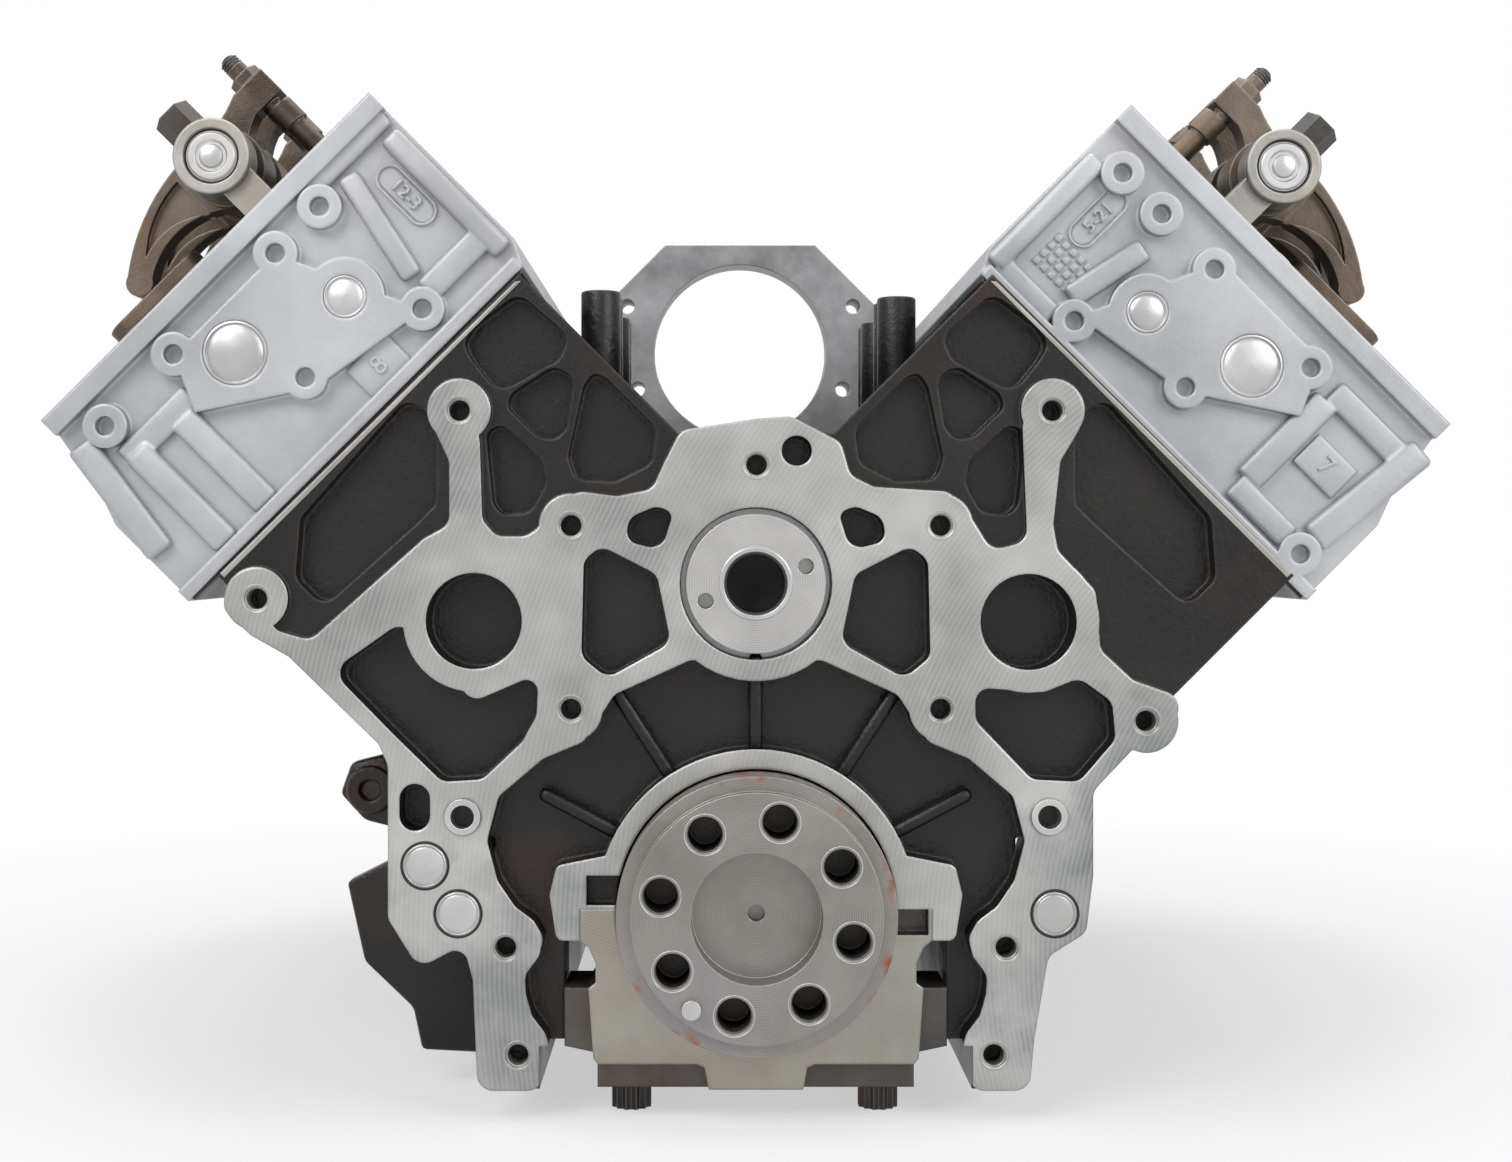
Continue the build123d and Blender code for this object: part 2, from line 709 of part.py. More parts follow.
# Camshaft with a lobe under every lifter
with BuildPart() as camshaft:
    with BuildSketch(rear_plane(block_rear + 1)):
        with Locations((0, cam_height)):
            Circle(cam_core_radius)
    extrude(amount=-(block_length + gear_width + 2))
    for y in main_places:
        start = block_rear + 1 if y == main_places[0] else y - main_journal_length / 2
        with BuildSketch(rear_plane(start)):
            with Locations((0, cam_height)):
                Circle(cam_journal_radius)
        extrude(amount=-(y + main_journal_length / 2 - start))
    lobe_turn = 0
    for side, bank in sides:
        for y in cylinder_places(side):
            for row in (-valve_row_y, valve_row_y):
                lobe_turn += 45
                nose = polar(cam_nose_reach - cam_nose_radius, lobe_turn)
                with BuildSketch(rear_plane(y + row - lobe_width / 2)):
                    with Locations((0, cam_height)):
                        Circle(cam_base_radius)
                    with Locations((nose[0], cam_height + nose[1])):
                        Circle(cam_nose_radius)
                    make_hull()
                extrude(amount=-lobe_width)
    with BuildSketch(rear_plane(block_rear + 1)):
        with Locations((0, cam_height)):
            Circle(cam_hole_radius)
    extrude(amount=-30, mode=Mode.SUBTRACT)
    with BuildSketch(rear_plane(block_rear + 1)):
        with Locations((0, cam_height)):
            with PolarLocations(22.5, 2, start_angle=19):
                Circle(3.4)
    extrude(amount=-16, mode=Mode.SUBTRACT)
write(camshaft, "camshaft")

# Front cover: a closed case over the gears with the pump's round opening above it
with BuildPart() as front_cover:
    cover_depth = gear_case_depth + cover_wall
    with BuildSketch(rear_plane(block_front)):
        with BuildLine():
            Polyline(
                (-50, 357), (50, 357), (100, 307), (100, 200), (118, 150), (118, -77), (-118, -77),
                (-118, 150), (-100, 200), (-100, 307), close=True,
            )
        make_face()
    extrude(amount=-cover_depth)
    with BuildSketch(rear_plane(block_front)):
        Circle(gear_module * crank_gear_teeth / 2 + 8)
        with Locations((0, cam_height)):
            Circle(gear_module * cam_gear_teeth / 2 + 8)
        with Locations((0, 40)):
            Rectangle(2 * 54, 80)
    extrude(amount=-gear_case_depth, mode=Mode.SUBTRACT)
    with BuildSketch(rear_plane(block_front)):
        with Locations((0, pump_height)):
            Circle(pump_opening_radius)
        Circle(snout_radius + seal_wall)
    extrude(amount=-cover_depth, mode=Mode.SUBTRACT)
    with BuildSketch(rear_plane(block_front + gear_case_depth)):
        with Locations((0, pump_height)):
            Circle(pump_seat_radius)
    extrude(amount=-cover_depth, mode=Mode.SUBTRACT)
    with BuildSketch(rear_plane(block_front)):
        with Locations((-75.5, 316), (75.5, 316), (68.6, 260.6), (-68.6, 260.6)):
            Circle(4.8)
    extrude(amount=-cover_depth, mode=Mode.SUBTRACT)
write(front_cover, "front_cover")

with BuildPart() as crank_front_seal:
    with BuildSketch(rear_plane(block_front + gear_case_depth + (cover_wall - seal_width) / 2)):
        Circle(snout_radius + seal_wall)
        Circle(snout_radius + running_clearance, mode=Mode.SUBTRACT)
    extrude(amount=-seal_width)
write(crank_front_seal, "crank_front_seal")

# Pistons with their rings and pins, each where its throw holds it at rest
for side, bank in sides:
    for number, y in enumerate(cylinder_places(side)):
        phase = math.radians(throw_angles[number] - (90 - side * 45))
        pin_height = crank_throw * math.cos(phase)
        pin_height += math.sqrt(rod_length ** 2 - (crank_throw * math.sin(phase)) ** 2)
        crown = pin_height + compression_height
        base = pin_height - skirt_below_pin
        piston_radius = cylinder_radius - running_clearance
        outline = [(0, base), (piston_radius, base)]
        for ring in range(ring_count, 0, -1):
            groove = crown - ring_spacing * ring
            outline += [
                (piston_radius, groove - ring_height), (piston_radius + ring_stand, groove - ring_height),
                (piston_radius + ring_stand, groove), (piston_radius, groove),
            ]
        outline += [
            (piston_radius, crown), (piston_bowl_radius, crown),
            (piston_bowl_radius - 5, crown - piston_bowl_depth), (0, crown - piston_bowl_depth + 6),
        ]
        roof = crown - crown_thickness - piston_bowl_depth
        with BuildPart() as piston:
            with BuildSketch(bank_end_plane(side, y)):
                with BuildLine():
                    Polyline(*outline, close=True)
                make_face()
            revolve(axis=bank_axis(side, 0, y))
            # Hollow below the crown, with bosses for the pin and a skirt cut short at both ends
            with BuildSketch(bank_plane(side, base)):
                with Locations((0, y)):
                    Circle(piston_radius - piston_wall)
                with Locations((0, y - pin_length / 2 + 12), (0, y + pin_length / 2 - 12)):
                    Rectangle(2 * pin_radius + 14, 20, mode=Mode.SUBTRACT)
            extrude(amount=roof - base, mode=Mode.SUBTRACT)
            with BuildSketch(bank_plane(side, base)):
                with Locations((0, y - cylinder_radius), (0, y + cylinder_radius)):
                    Rectangle(bore, 2 * (cylinder_radius - pin_length / 2 + 2))
            extrude(amount=skirt_below_pin * 2, mode=Mode.SUBTRACT)
            with BuildSketch(bank_end_plane(side, y - pin_length / 2)):
                with Locations((0, pin_height)):
                    Circle(pin_radius)
            extrude(amount=-pin_length, mode=Mode.SUBTRACT)
        with BuildPart() as pin:
            with BuildSketch(bank_end_plane(side, y - pin_length / 2 + 2)):
                with Locations((0, pin_height)):
                    Circle(pin_radius)
                    Circle(pin_radius - 7, mode=Mode.SUBTRACT)
            extrude(amount=4 - pin_length)
        write_together((piston, pin), f"piston_{bank}_{number + 1}")

# Cylinder heads. Each outline is t and n above the block's deck, from the valley side outboard
head_outline = [
    (head_inner + 6, 0), (head_outer, 0), (head_outer, 46), (head_outer - 5, 60), (head_rail_outer, 90),
    (head_rail_outer, head_height), (head_inner, head_height), (head_inner, 12),
]
head_end_holes = {
    -1: [(-79.7, 79.7), (-52.3, 78.9), (-79.9, 17.7), (9.0, 79.2), (-23.9, 32.3), (51.3, 78.1)],
    1: [(-110.5, 75.4), (-85.7, 74.8), (-52.1, 73.9), (-79.6, 14.4), (-24.6, 28.3), (8.3, 73.3), (62.7, 12.2)],
}
head_end_plugs = {-1: [(-10.1, 60.9), (-60.2, 44.7)], 1: [(-10.7, 55.4), (-59.7, 39.7)]}
head_plug_radii = (14.0, 9.3)
head_pad = [(-80, 17), (-52, 79), (9, 79), (20, 55), (-24, 26)]


valve_profile = [
    (0, valve_recess), (valve_head_radius, valve_recess), (valve_head_radius, valve_recess + valve_margin),
    (valve_stem_radius, valve_recess + valve_head_height), (valve_stem_radius, spring_top),
    (retainer_radius, spring_top), (retainer_radius, spring_top + retainer_height),
    (valve_stem_radius + 1, valve_tip - 1), (valve_stem_radius, valve_tip), (0, valve_tip),
]


def bank_places(side, places):
    return [(side * t, head_deck + n) for t, n in places]


def valve_places(side, row):
    low = -side * (valve_pair_t / 2 - valve_mid_t)
    high = side * (valve_pair_t / 2 + valve_mid_t)
    return [(t, y + row) for y in cylinder_places(side) for t in (low, high)]


for side, bank in sides:
    rear = stand_places(side)[0] - head_end_margin
    with BuildPart() as head:
        with BuildSketch(bank_end_plane(side, rear + head_end_step)):
            with BuildLine():
                Polyline(*bank_places(side, head_outline), close=True)
            make_face()
        extrude(amount=-(head_length - head_end_step))
        # The end wall's rails, joined pad and bosses stand forward of the cast face
        with BuildSketch(bank_end_plane(side, rear)):
            with BuildLine():
                Polyline(*bank_places(side, head_pad), close=True)
            make_face()
            with Locations(*bank_places(side, head_end_holes[side])):
                Circle(9.5)
            with Locations(*bank_places(side, head_end_plugs[side])):
                Circle(head_plug_radii[0] + 3)
            with BuildLine():
                Polyline(
                    *bank_places(side, [
                        (head_inner, head_height - 9), (head_rail_outer, head_height - 9),
                        (head_rail_outer, head_height), (head_inner, head_height),
                    ]), close=True,
                )
            make_face()
            with BuildLine():
                Polyline(
                    *bank_places(side, [(head_inner + 6, 0), (head_outer, 0), (head_outer, 6), (head_inner + 6, 6)]),
                    close=True,
                )
            make_face()
        extrude(amount=-head_end_step)
        # The open rocker chamber
        with BuildSketch(bank_plane(side, head_deck + spring_seat)):
            with Locations((side * (head_inner + head_rail_outer) / 2, rear + head_length / 2)):
                Rectangle(head_rail_outer - head_inner - 2 * head_wall, head_length - 2 * head_end_wall)
        extrude(amount=head_height, mode=Mode.SUBTRACT)
        # Throats, guides and pushrod holes
        for row in (-valve_row_y, valve_row_y):
            with BuildSketch(bank_plane(side, head_deck)):
                with Locations(*valve_places(side, row)):
                    Circle(valve_head_radius - 2)
            extrude(amount=port_height, mode=Mode.SUBTRACT)
            with BuildSketch(bank_plane(side, head_deck)):
                with Locations(*valve_places(side, row)):
                    Circle(valve_head_radius + 1)
            extrude(amount=seat_depth, mode=Mode.SUBTRACT)
            with BuildSketch(bank_plane(side, head_deck)):
                with Locations(*valve_places(side, row)):
                    Circle(valve_stem_radius + running_clearance)
            extrude(amount=head_height, mode=Mode.SUBTRACT)
            with BuildSketch(bank_plane(side, head_deck)):
                with Locations(*[(-side * cam_line, y + row) for y in cylinder_places(side)]):
                    Circle(pushrod_radius + 3)
            extrude(amount=head_height, mode=Mode.SUBTRACT)
        with BuildSketch(bank_plane(side, head_deck)):
            with Locations(*bolt_places(side)):
                Circle(head_bolt_radius + running_clearance)
        extrude(amount=head_height, mode=Mode.SUBTRACT)
        # Ports: the intakes enter from the valley between the pushrods, the exhausts leave outboard
        with BuildSketch(bank_plane(side, head_deck + port_height - port_roof)):
            for y in cylinder_places(side):
                with Locations((side * (head_inner - 86) / 2, y)):
                    Rectangle(-head_inner - 84, 20)
                with Locations((side * -60, y - valve_row_y / 2 - 1)):
                    Rectangle(52, 40)
                with Locations((side * -8, y - valve_row_y)):
                    Rectangle(76, 27)
                with Locations((side * (head_outer - 28) / 2, y + valve_row_y)):
                    Rectangle(head_outer + 28 + 2, 27)
        extrude(amount=port_roof + 6, mode=Mode.SUBTRACT)
        with BuildSketch(bank_end_plane(side, rear)):
            with Locations(*bank_places(side, head_end_holes[side])):
                Circle(4.2)
            for place, radius in zip(head_end_plugs[side], head_plug_radii):
                with Locations(*bank_places(side, [place])):
                    Circle(radius)
        extrude(amount=-head_end_step, mode=Mode.SUBTRACT)
        # Threads for the rocker stand bolts
        with BuildSketch(bank_plane(side, head_deck + spring_seat)):
            with Locations(*[(side * rocker_shaft_t, y) for y in stand_places(side)]):
                Circle(stand_bolt_radius + running_clearance)
        extrude(amount=-stand_bolt_thread - 2, mode=Mode.SUBTRACT)
    write(head, f"head_{bank}")

    with BuildPart() as gasket:
        with BuildSketch(bank_plane(side, deck_height)):
            with Locations((side * (head_inner + 6 + head_outer) / 2, rear + head_length / 2)):
                Rectangle(head_outer - head_inner - 10, head_length - 4)
            with Locations(*[(0, y) for y in cylinder_places(side)]):
                Circle(cylinder_radius + 0.6, mode=Mode.SUBTRACT)
            with Locations(*bolt_places(side)):
                Circle(head_bolt_radius + 0.6, mode=Mode.SUBTRACT)
            with Locations(*[(-side * cam_line, y) for y in cylinder_places(side)]):
                Rectangle(26, 2 * valve_row_y + 30, mode=Mode.SUBTRACT)
        extrude(amount=gasket_thickness)
    write(gasket, f"head_gasket_{bank}")

    # The rocker shaft on its five stands, held down by bolts through both
    shaft_n = head_deck + rocker_shaft_n
    shaft_start = stand_places(side)[0] - stand_depth / 2 - 3
    with BuildPart() as rocker_shaft:
        with BuildSketch(bank_end_plane(side, shaft_start)):
            with Locations((side * rocker_shaft_t, shaft_n)):
                Circle(rocker_shaft_radius)
        extrude(amount=-(stand_places(side)[-1] - stand_places(side)[0] + stand_depth + 6))
        with BuildSketch(bank_plane(side, shaft_n - rocker_shaft_radius)):
            with Locations(*[(side * rocker_shaft_t, y) for y in stand_places(side)]):
                Circle(stand_bolt_radius + running_clearance)
        extrude(amount=2 * rocker_shaft_radius, mode=Mode.SUBTRACT)
    write(rocker_shaft, f"rocker_shaft_{bank}")

    with BuildPart() as stands:
        for y in stand_places(side):
            with BuildSketch(bank_end_plane(side, y - stand_depth / 2)):
                with Locations((side * rocker_shaft_t, shaft_n)):
                    Circle(rocker_shaft_radius + 5.5)
                with Locations((side * rocker_shaft_t, (shaft_n + head_deck + spring_seat) / 2)):
                    Rectangle(stand_width, rocker_shaft_n - spring_seat)
                with Locations((side * rocker_shaft_t, shaft_n)):
                    Circle(rocker_shaft_radius + 0.01, mode=Mode.SUBTRACT)
            extrude(amount=-stand_depth)
        with BuildSketch(bank_plane(side, head_deck + spring_seat)):
            with Locations(*[(side * rocker_shaft_t, y) for y in stand_places(side)]):
                Circle(stand_bolt_radius + running_clearance)
        extrude(amount=rocker_shaft_n, mode=Mode.SUBTRACT)
    write(stands, f"rocker_stands_{bank}")

    # What the cam moves, in two sets: one rocker, bridge and valve pair for each row
    for row, kind in ((-valve_row_y, "intake"), (valve_row_y, "exhaust")):
        rows = [y + row for y in cylinder_places(side)]

        # Valves turned in one piece with their spring retainers
        with BuildPart() as valves:
            for t, y in valve_places(side, row):
                with BuildSketch(bank_end_plane(side, y)):
                    with BuildLine():
                        Polyline(*[(t + radius, head_deck + n) for radius, n in valve_profile], close=True)
                    make_face()
                revolve(axis=bank_axis(side, t, y))
        write(valves, f"valves_{bank}_{kind}")

        with BuildPart() as springs:
            with BuildSketch(bank_plane(side, head_deck + spring_seat + seat_gap)):
                with Locations(*valve_places(side, row)):
                    RegularPolygon(spring_radius, spring_sides)
                with Locations(*valve_places(side, row)):
                    RegularPolygon(spring_radius - spring_wire, spring_sides, mode=Mode.SUBTRACT)
            extrude(amount=spring_top - spring_seat - 2 * seat_gap)
        write(springs, f"valve_springs_{bank}_{kind}")

        with BuildPart() as bridges:
            with BuildSketch(bank_plane(side, head_deck + valve_tip)):
                with Locations(*[(side * valve_mid_t, y) for y in rows]):
                    SlotCenterToCenter(valve_pair_t, 2 * bridge_half_width)
            extrude(amount=bridge_top - valve_tip)
        write(bridges, f"valve_bridges_{bank}_{kind}")

        with BuildPart() as lifters:
            with BuildSketch(bank_plane(side, lifter_bottom + roller_radius)):
                with Locations(*[(-side * cam_line, y) for y in rows]):
                    Circle(lifter_radius)
            extrude(amount=lifter_length - roller_radius)
            for y in rows:
                centre = (-side * cam_line, lifter_bottom + roller_radius)
                with BuildSketch(bank_end_plane(side, y - roller_width / 2)):
                    with Locations(centre):
                        Circle(roller_radius)
                extrude(amount=-roller_width)

        lifter_top = lifter_bottom + lifter_length
        with BuildPart() as pushrods:
            with BuildSketch(bank_plane(side, lifter_top)):
                with Locations(*[(-side * cam_line, y) for y in rows]):
                    Circle(pushrod_radius)
            extrude(amount=head_deck + adjuster_bottom - seat_gap - lifter_top)
            with BuildSketch(bank_plane(side, head_deck + adjuster_bottom - seat_gap)):
                with Locations(*[(-side * cam_line, y) for y in rows]):
                    Circle(pushrod_cup_radius)
            extrude(amount=-pushrod_cup_height)
        write_together((pushrods, lifters), f"pushrods_{bank}_{kind}")

        def arm(t, n):
            return (side * t, head_deck + n)

        hub_top, hub_low = rocker_shaft_n + rocker_hub_radius, rocker_shaft_n - rocker_hub_radius
        tip_n = bridge_top + seat_gap + rocker_tip_radius
        boss_low, boss_high = adjuster_bottom + 3, adjuster_nut
        with BuildPart() as rockers:
            for y in rows:
                with BuildSketch(bank_end_plane(side, y - rocker_arm_width / 2)):
                    # The valve side: an arched beam from the hub down to the tip
                    with BuildLine():
                        ThreePointArc(
                            arm(rocker_shaft_t, hub_top), arm(-26, hub_top - 4), arm(rocker_tip_t + 5, tip_n + 3),
                        )
                        Line(arm(rocker_tip_t + 5, tip_n + 3), arm(rocker_tip_t - 5, tip_n - 3))
                        ThreePointArc(
                            arm(rocker_tip_t - 5, tip_n - 3), arm(-28, tip_n + 4), arm(rocker_shaft_t + 9, hub_low + 2),
                        )
                        Line(arm(rocker_shaft_t + 9, hub_low + 2), arm(rocker_shaft_t, hub_top))
                    make_face()
                    # The pushrod side: a shorter arm that ends in the boss of the adjuster
                    with BuildLine():
                        ThreePointArc(
                            arm(rocker_shaft_t, hub_top), arm(-76, hub_top + 1), arm(adjuster_t + 9, boss_high),
                        )
                        Polyline(
                            arm(adjuster_t + 9, boss_high), arm(adjuster_t - 8, boss_high),
                            arm(adjuster_t - 8, boss_low), arm(adjuster_t + 8, boss_low),
                        )
                        ThreePointArc(
                            arm(adjuster_t + 8, boss_low), arm(-80, boss_low - 4), arm(rocker_shaft_t - 6, hub_low + 2),
                        )
                        Line(arm(rocker_shaft_t - 6, hub_low + 2), arm(rocker_shaft_t, hub_top))
                    make_face()
                    with Locations(arm(rocker_tip_t, tip_n)):
                        Circle(rocker_tip_radius)
                extrude(amount=-rocker_arm_width)
                # Both sides of the beam are hollowed to leave a web between its ribs
                for start, depth in ((-rocker_arm_width / 2, -web_recess), (rocker_arm_width / 2, web_recess)):
                    with BuildSketch(bank_end_plane(side, y + start)):
                        with BuildLine():
                            ThreePointArc(arm(-42, hub_top - 5), arm(-26, hub_top - 8), arm(-8, tip_n + 6))
                            ThreePointArc(arm(-8, tip_n + 6), arm(-25, tip_n + 8), arm(-42, hub_low + 9))
                            Line(arm(-42, hub_low + 9), arm(-42, hub_top - 5))
                        make_face()
                    extrude(amount=depth, mode=Mode.SUBTRACT)
            with BuildSketch(bank_plane(side, head_deck + adjuster_bottom)):
                with Locations(*[(side * adjuster_t, y) for y in rows]):
                    Circle(adjuster_radius)
            extrude(amount=adjuster_top - adjuster_bottom, mode=Mode.SUBTRACT)
            for y in rows:
                with BuildSketch(bank_end_plane(side, y - rocker_width / 2)):
                    with Locations((side * rocker_shaft_t, shaft_n)):
                        Circle(rocker_hub_radius)
                extrude(amount=-rocker_width)
                with BuildSketch(bank_end_plane(side, y - rocker_width / 2)):
                    with Locations((side * rocker_shaft_t, shaft_n)):
                        Circle(rocker_shaft_radius + running_clearance)
                extrude(amount=-rocker_width, mode=Mode.SUBTRACT)

        with BuildPart() as adjusters:
            with BuildSketch(bank_plane(side, head_deck + adjuster_bottom)):
                with Locations(*[(side * adjuster_t, y) for y in rows]):
                    Circle(adjuster_radius)
            extrude(amount=adjuster_top - adjuster_bottom)
            with BuildSketch(bank_plane(side, head_deck + boss_high)):
                with Locations(*[(side * adjuster_t, y) for y in rows]):
                    RegularPolygon(adjuster_nut_radius, 6)
            extrude(amount=adjuster_nut_height)
        write_together((rockers, adjusters), f"rockers_{bank}_{kind}")

# Fasteners, plugs, guides and seats of both banks
with BuildPart() as head_bolts:
    for side, bank in sides:
        with BuildSketch(bank_plane(side, deck_height - head_bolt_thread)):
            with Locations(*bolt_places(side)):
                RegularPolygon(head_bolt_radius, bolt_sides)
        extrude(amount=head_bolt_thread + gasket_thickness + spring_seat)
        with BuildSketch(bank_plane(side, head_deck + spring_seat)):
            with Locations(*bolt_places(side)):
                RegularPolygon(head_bolt_head_radius, 6)
        extrude(amount=head_bolt_head_height)
write(head_bolts, "head_bolts")

with BuildPart() as head_plugs:
    for side, bank in sides:
        face = stand_places(side)[0] - head_end_margin + 0.6
        for place, radius in zip(head_end_plugs[side], head_plug_radii):
            with BuildSketch(bank_end_plane(side, face)):
                with Locations(*bank_places(side, [place])):
                    Circle(radius)
            extrude(amount=-(head_end_step - 0.6))
            with BuildSketch(bank_end_plane(side, face)):
                with Locations(*bank_places(side, [place])):
                    Circle(radius - 1.5)
            extrude(amount=-1.5, mode=Mode.SUBTRACT)
write(head_plugs, "head_plugs")

with BuildPart() as stand_bolts:
    for side, bank in sides:
        places = [(side * rocker_shaft_t, y) for y in stand_places(side)]
        with BuildSketch(bank_plane(side, head_deck + spring_seat - stand_bolt_thread)):
            with Locations(*places):
                RegularPolygon(stand_bolt_radius, bolt_sides)
        extrude(amount=stand_bolt_thread + rocker_shaft_n - spring_seat + rocker_shaft_radius + 6)
        with BuildSketch(bank_plane(side, head_deck + rocker_shaft_n + rocker_shaft_radius + 5.5)):
            with Locations(*places):
                RegularPolygon(stand_bolt_radius + 4, 6)
        extrude(amount=stand_bolt_top - rocker_shaft_n - rocker_shaft_radius - 5.5)
write(stand_bolts, "stand_bolts")
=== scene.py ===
import bpy
import bmesh
import math
from mathutils import Matrix, Vector


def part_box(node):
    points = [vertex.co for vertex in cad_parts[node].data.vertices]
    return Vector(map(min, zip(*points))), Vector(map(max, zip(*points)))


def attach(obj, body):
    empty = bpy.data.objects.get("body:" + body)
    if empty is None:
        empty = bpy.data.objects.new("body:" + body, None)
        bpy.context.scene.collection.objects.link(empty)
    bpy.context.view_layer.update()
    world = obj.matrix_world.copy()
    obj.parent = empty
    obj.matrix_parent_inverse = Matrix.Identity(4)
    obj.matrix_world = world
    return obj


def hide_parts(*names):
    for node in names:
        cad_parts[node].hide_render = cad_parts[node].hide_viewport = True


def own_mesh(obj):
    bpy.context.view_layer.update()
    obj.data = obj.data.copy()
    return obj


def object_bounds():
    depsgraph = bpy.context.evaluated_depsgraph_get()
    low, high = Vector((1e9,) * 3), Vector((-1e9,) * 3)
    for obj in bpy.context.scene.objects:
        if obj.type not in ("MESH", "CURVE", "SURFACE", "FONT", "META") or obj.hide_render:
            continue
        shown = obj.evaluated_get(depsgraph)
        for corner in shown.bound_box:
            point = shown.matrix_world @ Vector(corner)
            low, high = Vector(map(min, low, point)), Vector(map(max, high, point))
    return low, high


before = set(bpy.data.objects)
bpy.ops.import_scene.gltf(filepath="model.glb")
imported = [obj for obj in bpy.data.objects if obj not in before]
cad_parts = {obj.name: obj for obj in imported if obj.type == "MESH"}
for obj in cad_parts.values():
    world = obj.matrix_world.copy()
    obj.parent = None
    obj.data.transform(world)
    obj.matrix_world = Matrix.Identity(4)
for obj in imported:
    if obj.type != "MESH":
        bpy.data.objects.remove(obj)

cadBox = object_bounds()
scene = bpy.context.scene
print("frame loaded")

# shared sizes, in metres; t runs across a bank, outboard, and n along its cylinders
halfRoot = math.sqrt(0.5)
bankAngle = 45  # degrees from upright
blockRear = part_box("cylinder_block")[0][1]  # y of the machined rear face
floorHeight = cadBox[0][2]
camHeight = 0.138
headDeck = 0.2635  # n of the heads' lower face
rockerAcross = -0.062  # t of the rocker shafts
rockerUp = 0.1300  # the rocker shafts above the heads' lower face
valveAcross = (-0.018, 0.020)
valveShift = {"intake": -0.0195, "exhaust": 0.0195}  # from the cylinder's axis, along the engine
boreSpacing = 0.117
sides = {"left": -1, "right": 1}
firstCylinder = {"left": 0.101, "right": 0.126}
bankStagger = 0.025
headRear = {"left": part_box("head_left")[0][1], "right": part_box("head_right")[0][1]}
mainPlaces = [0.055 + boreSpacing * k for k in range(5)]
unturned = Matrix.Identity(4)
pinpoint = 0.0002  # radius that closes a turned profile at its axis


def clearSelection():
    if bpy.context.object and bpy.context.object.mode != "OBJECT":
        bpy.ops.object.mode_set(mode="OBJECT")
    bpy.ops.object.select_all(action="DESELECT")


def bankPoint(side, t, n, y):
    return Vector((side * halfRoot * (n + t), y, halfRoot * (n - t)))


def bankMatrix(side, t, n, y):  # local z along the cylinder axis, local x outboard across the bank
    out = Vector((side * halfRoot, 0, -halfRoot))
    up = Vector((side * halfRoot, 0, halfRoot))
    along = up.cross(out)
    matrix = Matrix((out, along, up)).transposed().to_4x4()
    matrix.translation = bankPoint(side, t, n, y)
    return matrix


def rearMatrix(x, y, z, turn=0.0):  # local z towards the rear of the engine
    matrix = Matrix.Rotation(math.radians(90), 4, "X") @ Matrix.Rotation(turn, 4, "Z")
    matrix.translation = Vector((x, y, z))
    return matrix


def cylinderRows(bank, shift):  # y of each cylinder of a bank, moved by shift
    return [firstCylinder[bank] + boreSpacing * k + shift for k in range(4)]


def applyModifiers(piece):
    clearSelection()
    bpy.context.view_layer.objects.active = piece
    piece.select_set(True)
    for modifier in list(piece.modifiers):
        bpy.ops.object.modifier_apply(modifier=modifier.name)


def settle(piece, matrix, name, material, smooth=35):  # the place goes into the mesh
    clearSelection()
    bpy.context.view_layer.objects.active = piece
    piece.select_set(True)
    bpy.ops.object.transform_apply(location=True, rotation=True, scale=True)
    piece.data.transform(matrix)
    piece.name = name
    piece.data.materials.clear()
    piece.data.materials.append(material)
    bpy.ops.object.mode_set(mode="EDIT")
    bpy.ops.mesh.select_all(action="SELECT")
    bpy.ops.mesh.remove_doubles(threshold=1e-6)
    bpy.ops.mesh.normals_make_consistent(inside=False)
    bpy.ops.object.mode_set(mode="OBJECT")
    bpy.ops.object.shade_smooth_by_angle(angle=math.radians(smooth))
    return piece


def copyTo(model, matrix, name):
    piece = model.copy()
    piece.data = model.data.copy()
    scene.collection.objects.link(piece)
    piece.data.transform(matrix)
    piece.name = name
    return piece


def joinPieces(pieces, name):
    clearSelection()
    for piece in pieces:
        piece.select_set(True)
    bpy.context.view_layer.objects.active = pieces[0]
    if len(pieces) > 1:
        bpy.ops.object.join()
    joined = bpy.context.object
    joined.name = name
    return joined


def repeatModel(model, places, name):  # a copy of the model at each place, joined into one piece
    return joinPieces([copyTo(model, matrix, name) for matrix in places], name)


def dropModel(model):
    bpy.data.objects.remove(model, do_unlink=True)


def ringOfPoints(points, fill, name):  # a closed ring through the points, left in edit mode with all selected
    clearSelection()
    bpy.ops.mesh.primitive_circle_add(vertices=len(points), radius=0.01, fill_type=fill, location=(0, 0, 0))
    piece = bpy.context.object
    piece.name = name
    bpy.ops.object.mode_set(mode="EDIT")
    mesh = bmesh.from_edit_mesh(piece.data)
    mesh.verts.ensure_lookup_table()
    for vertex, point in zip(mesh.verts, points):
        vertex.co = point
    bmesh.update_edit_mesh(piece.data)
    bpy.ops.mesh.select_all(action="SELECT")
    return piece


def latheProfile(profile, steps, name):  # profile of (radius, height), turned about z
    piece = ringOfPoints([(radius, 0, height) for radius, height in profile], "NOTHING", name)
    bpy.ops.mesh.spin(steps=steps, angle=math.tau, center=(0, 0, 0), axis=(0, 0, 1), use_auto_merge=True)
    bpy.ops.mesh.select_all(action="SELECT")
    bpy.ops.mesh.remove_doubles(threshold=1e-6)
    bpy.ops.mesh.normals_make_consistent(inside=False)
    bpy.ops.object.mode_set(mode="OBJECT")
    return piece


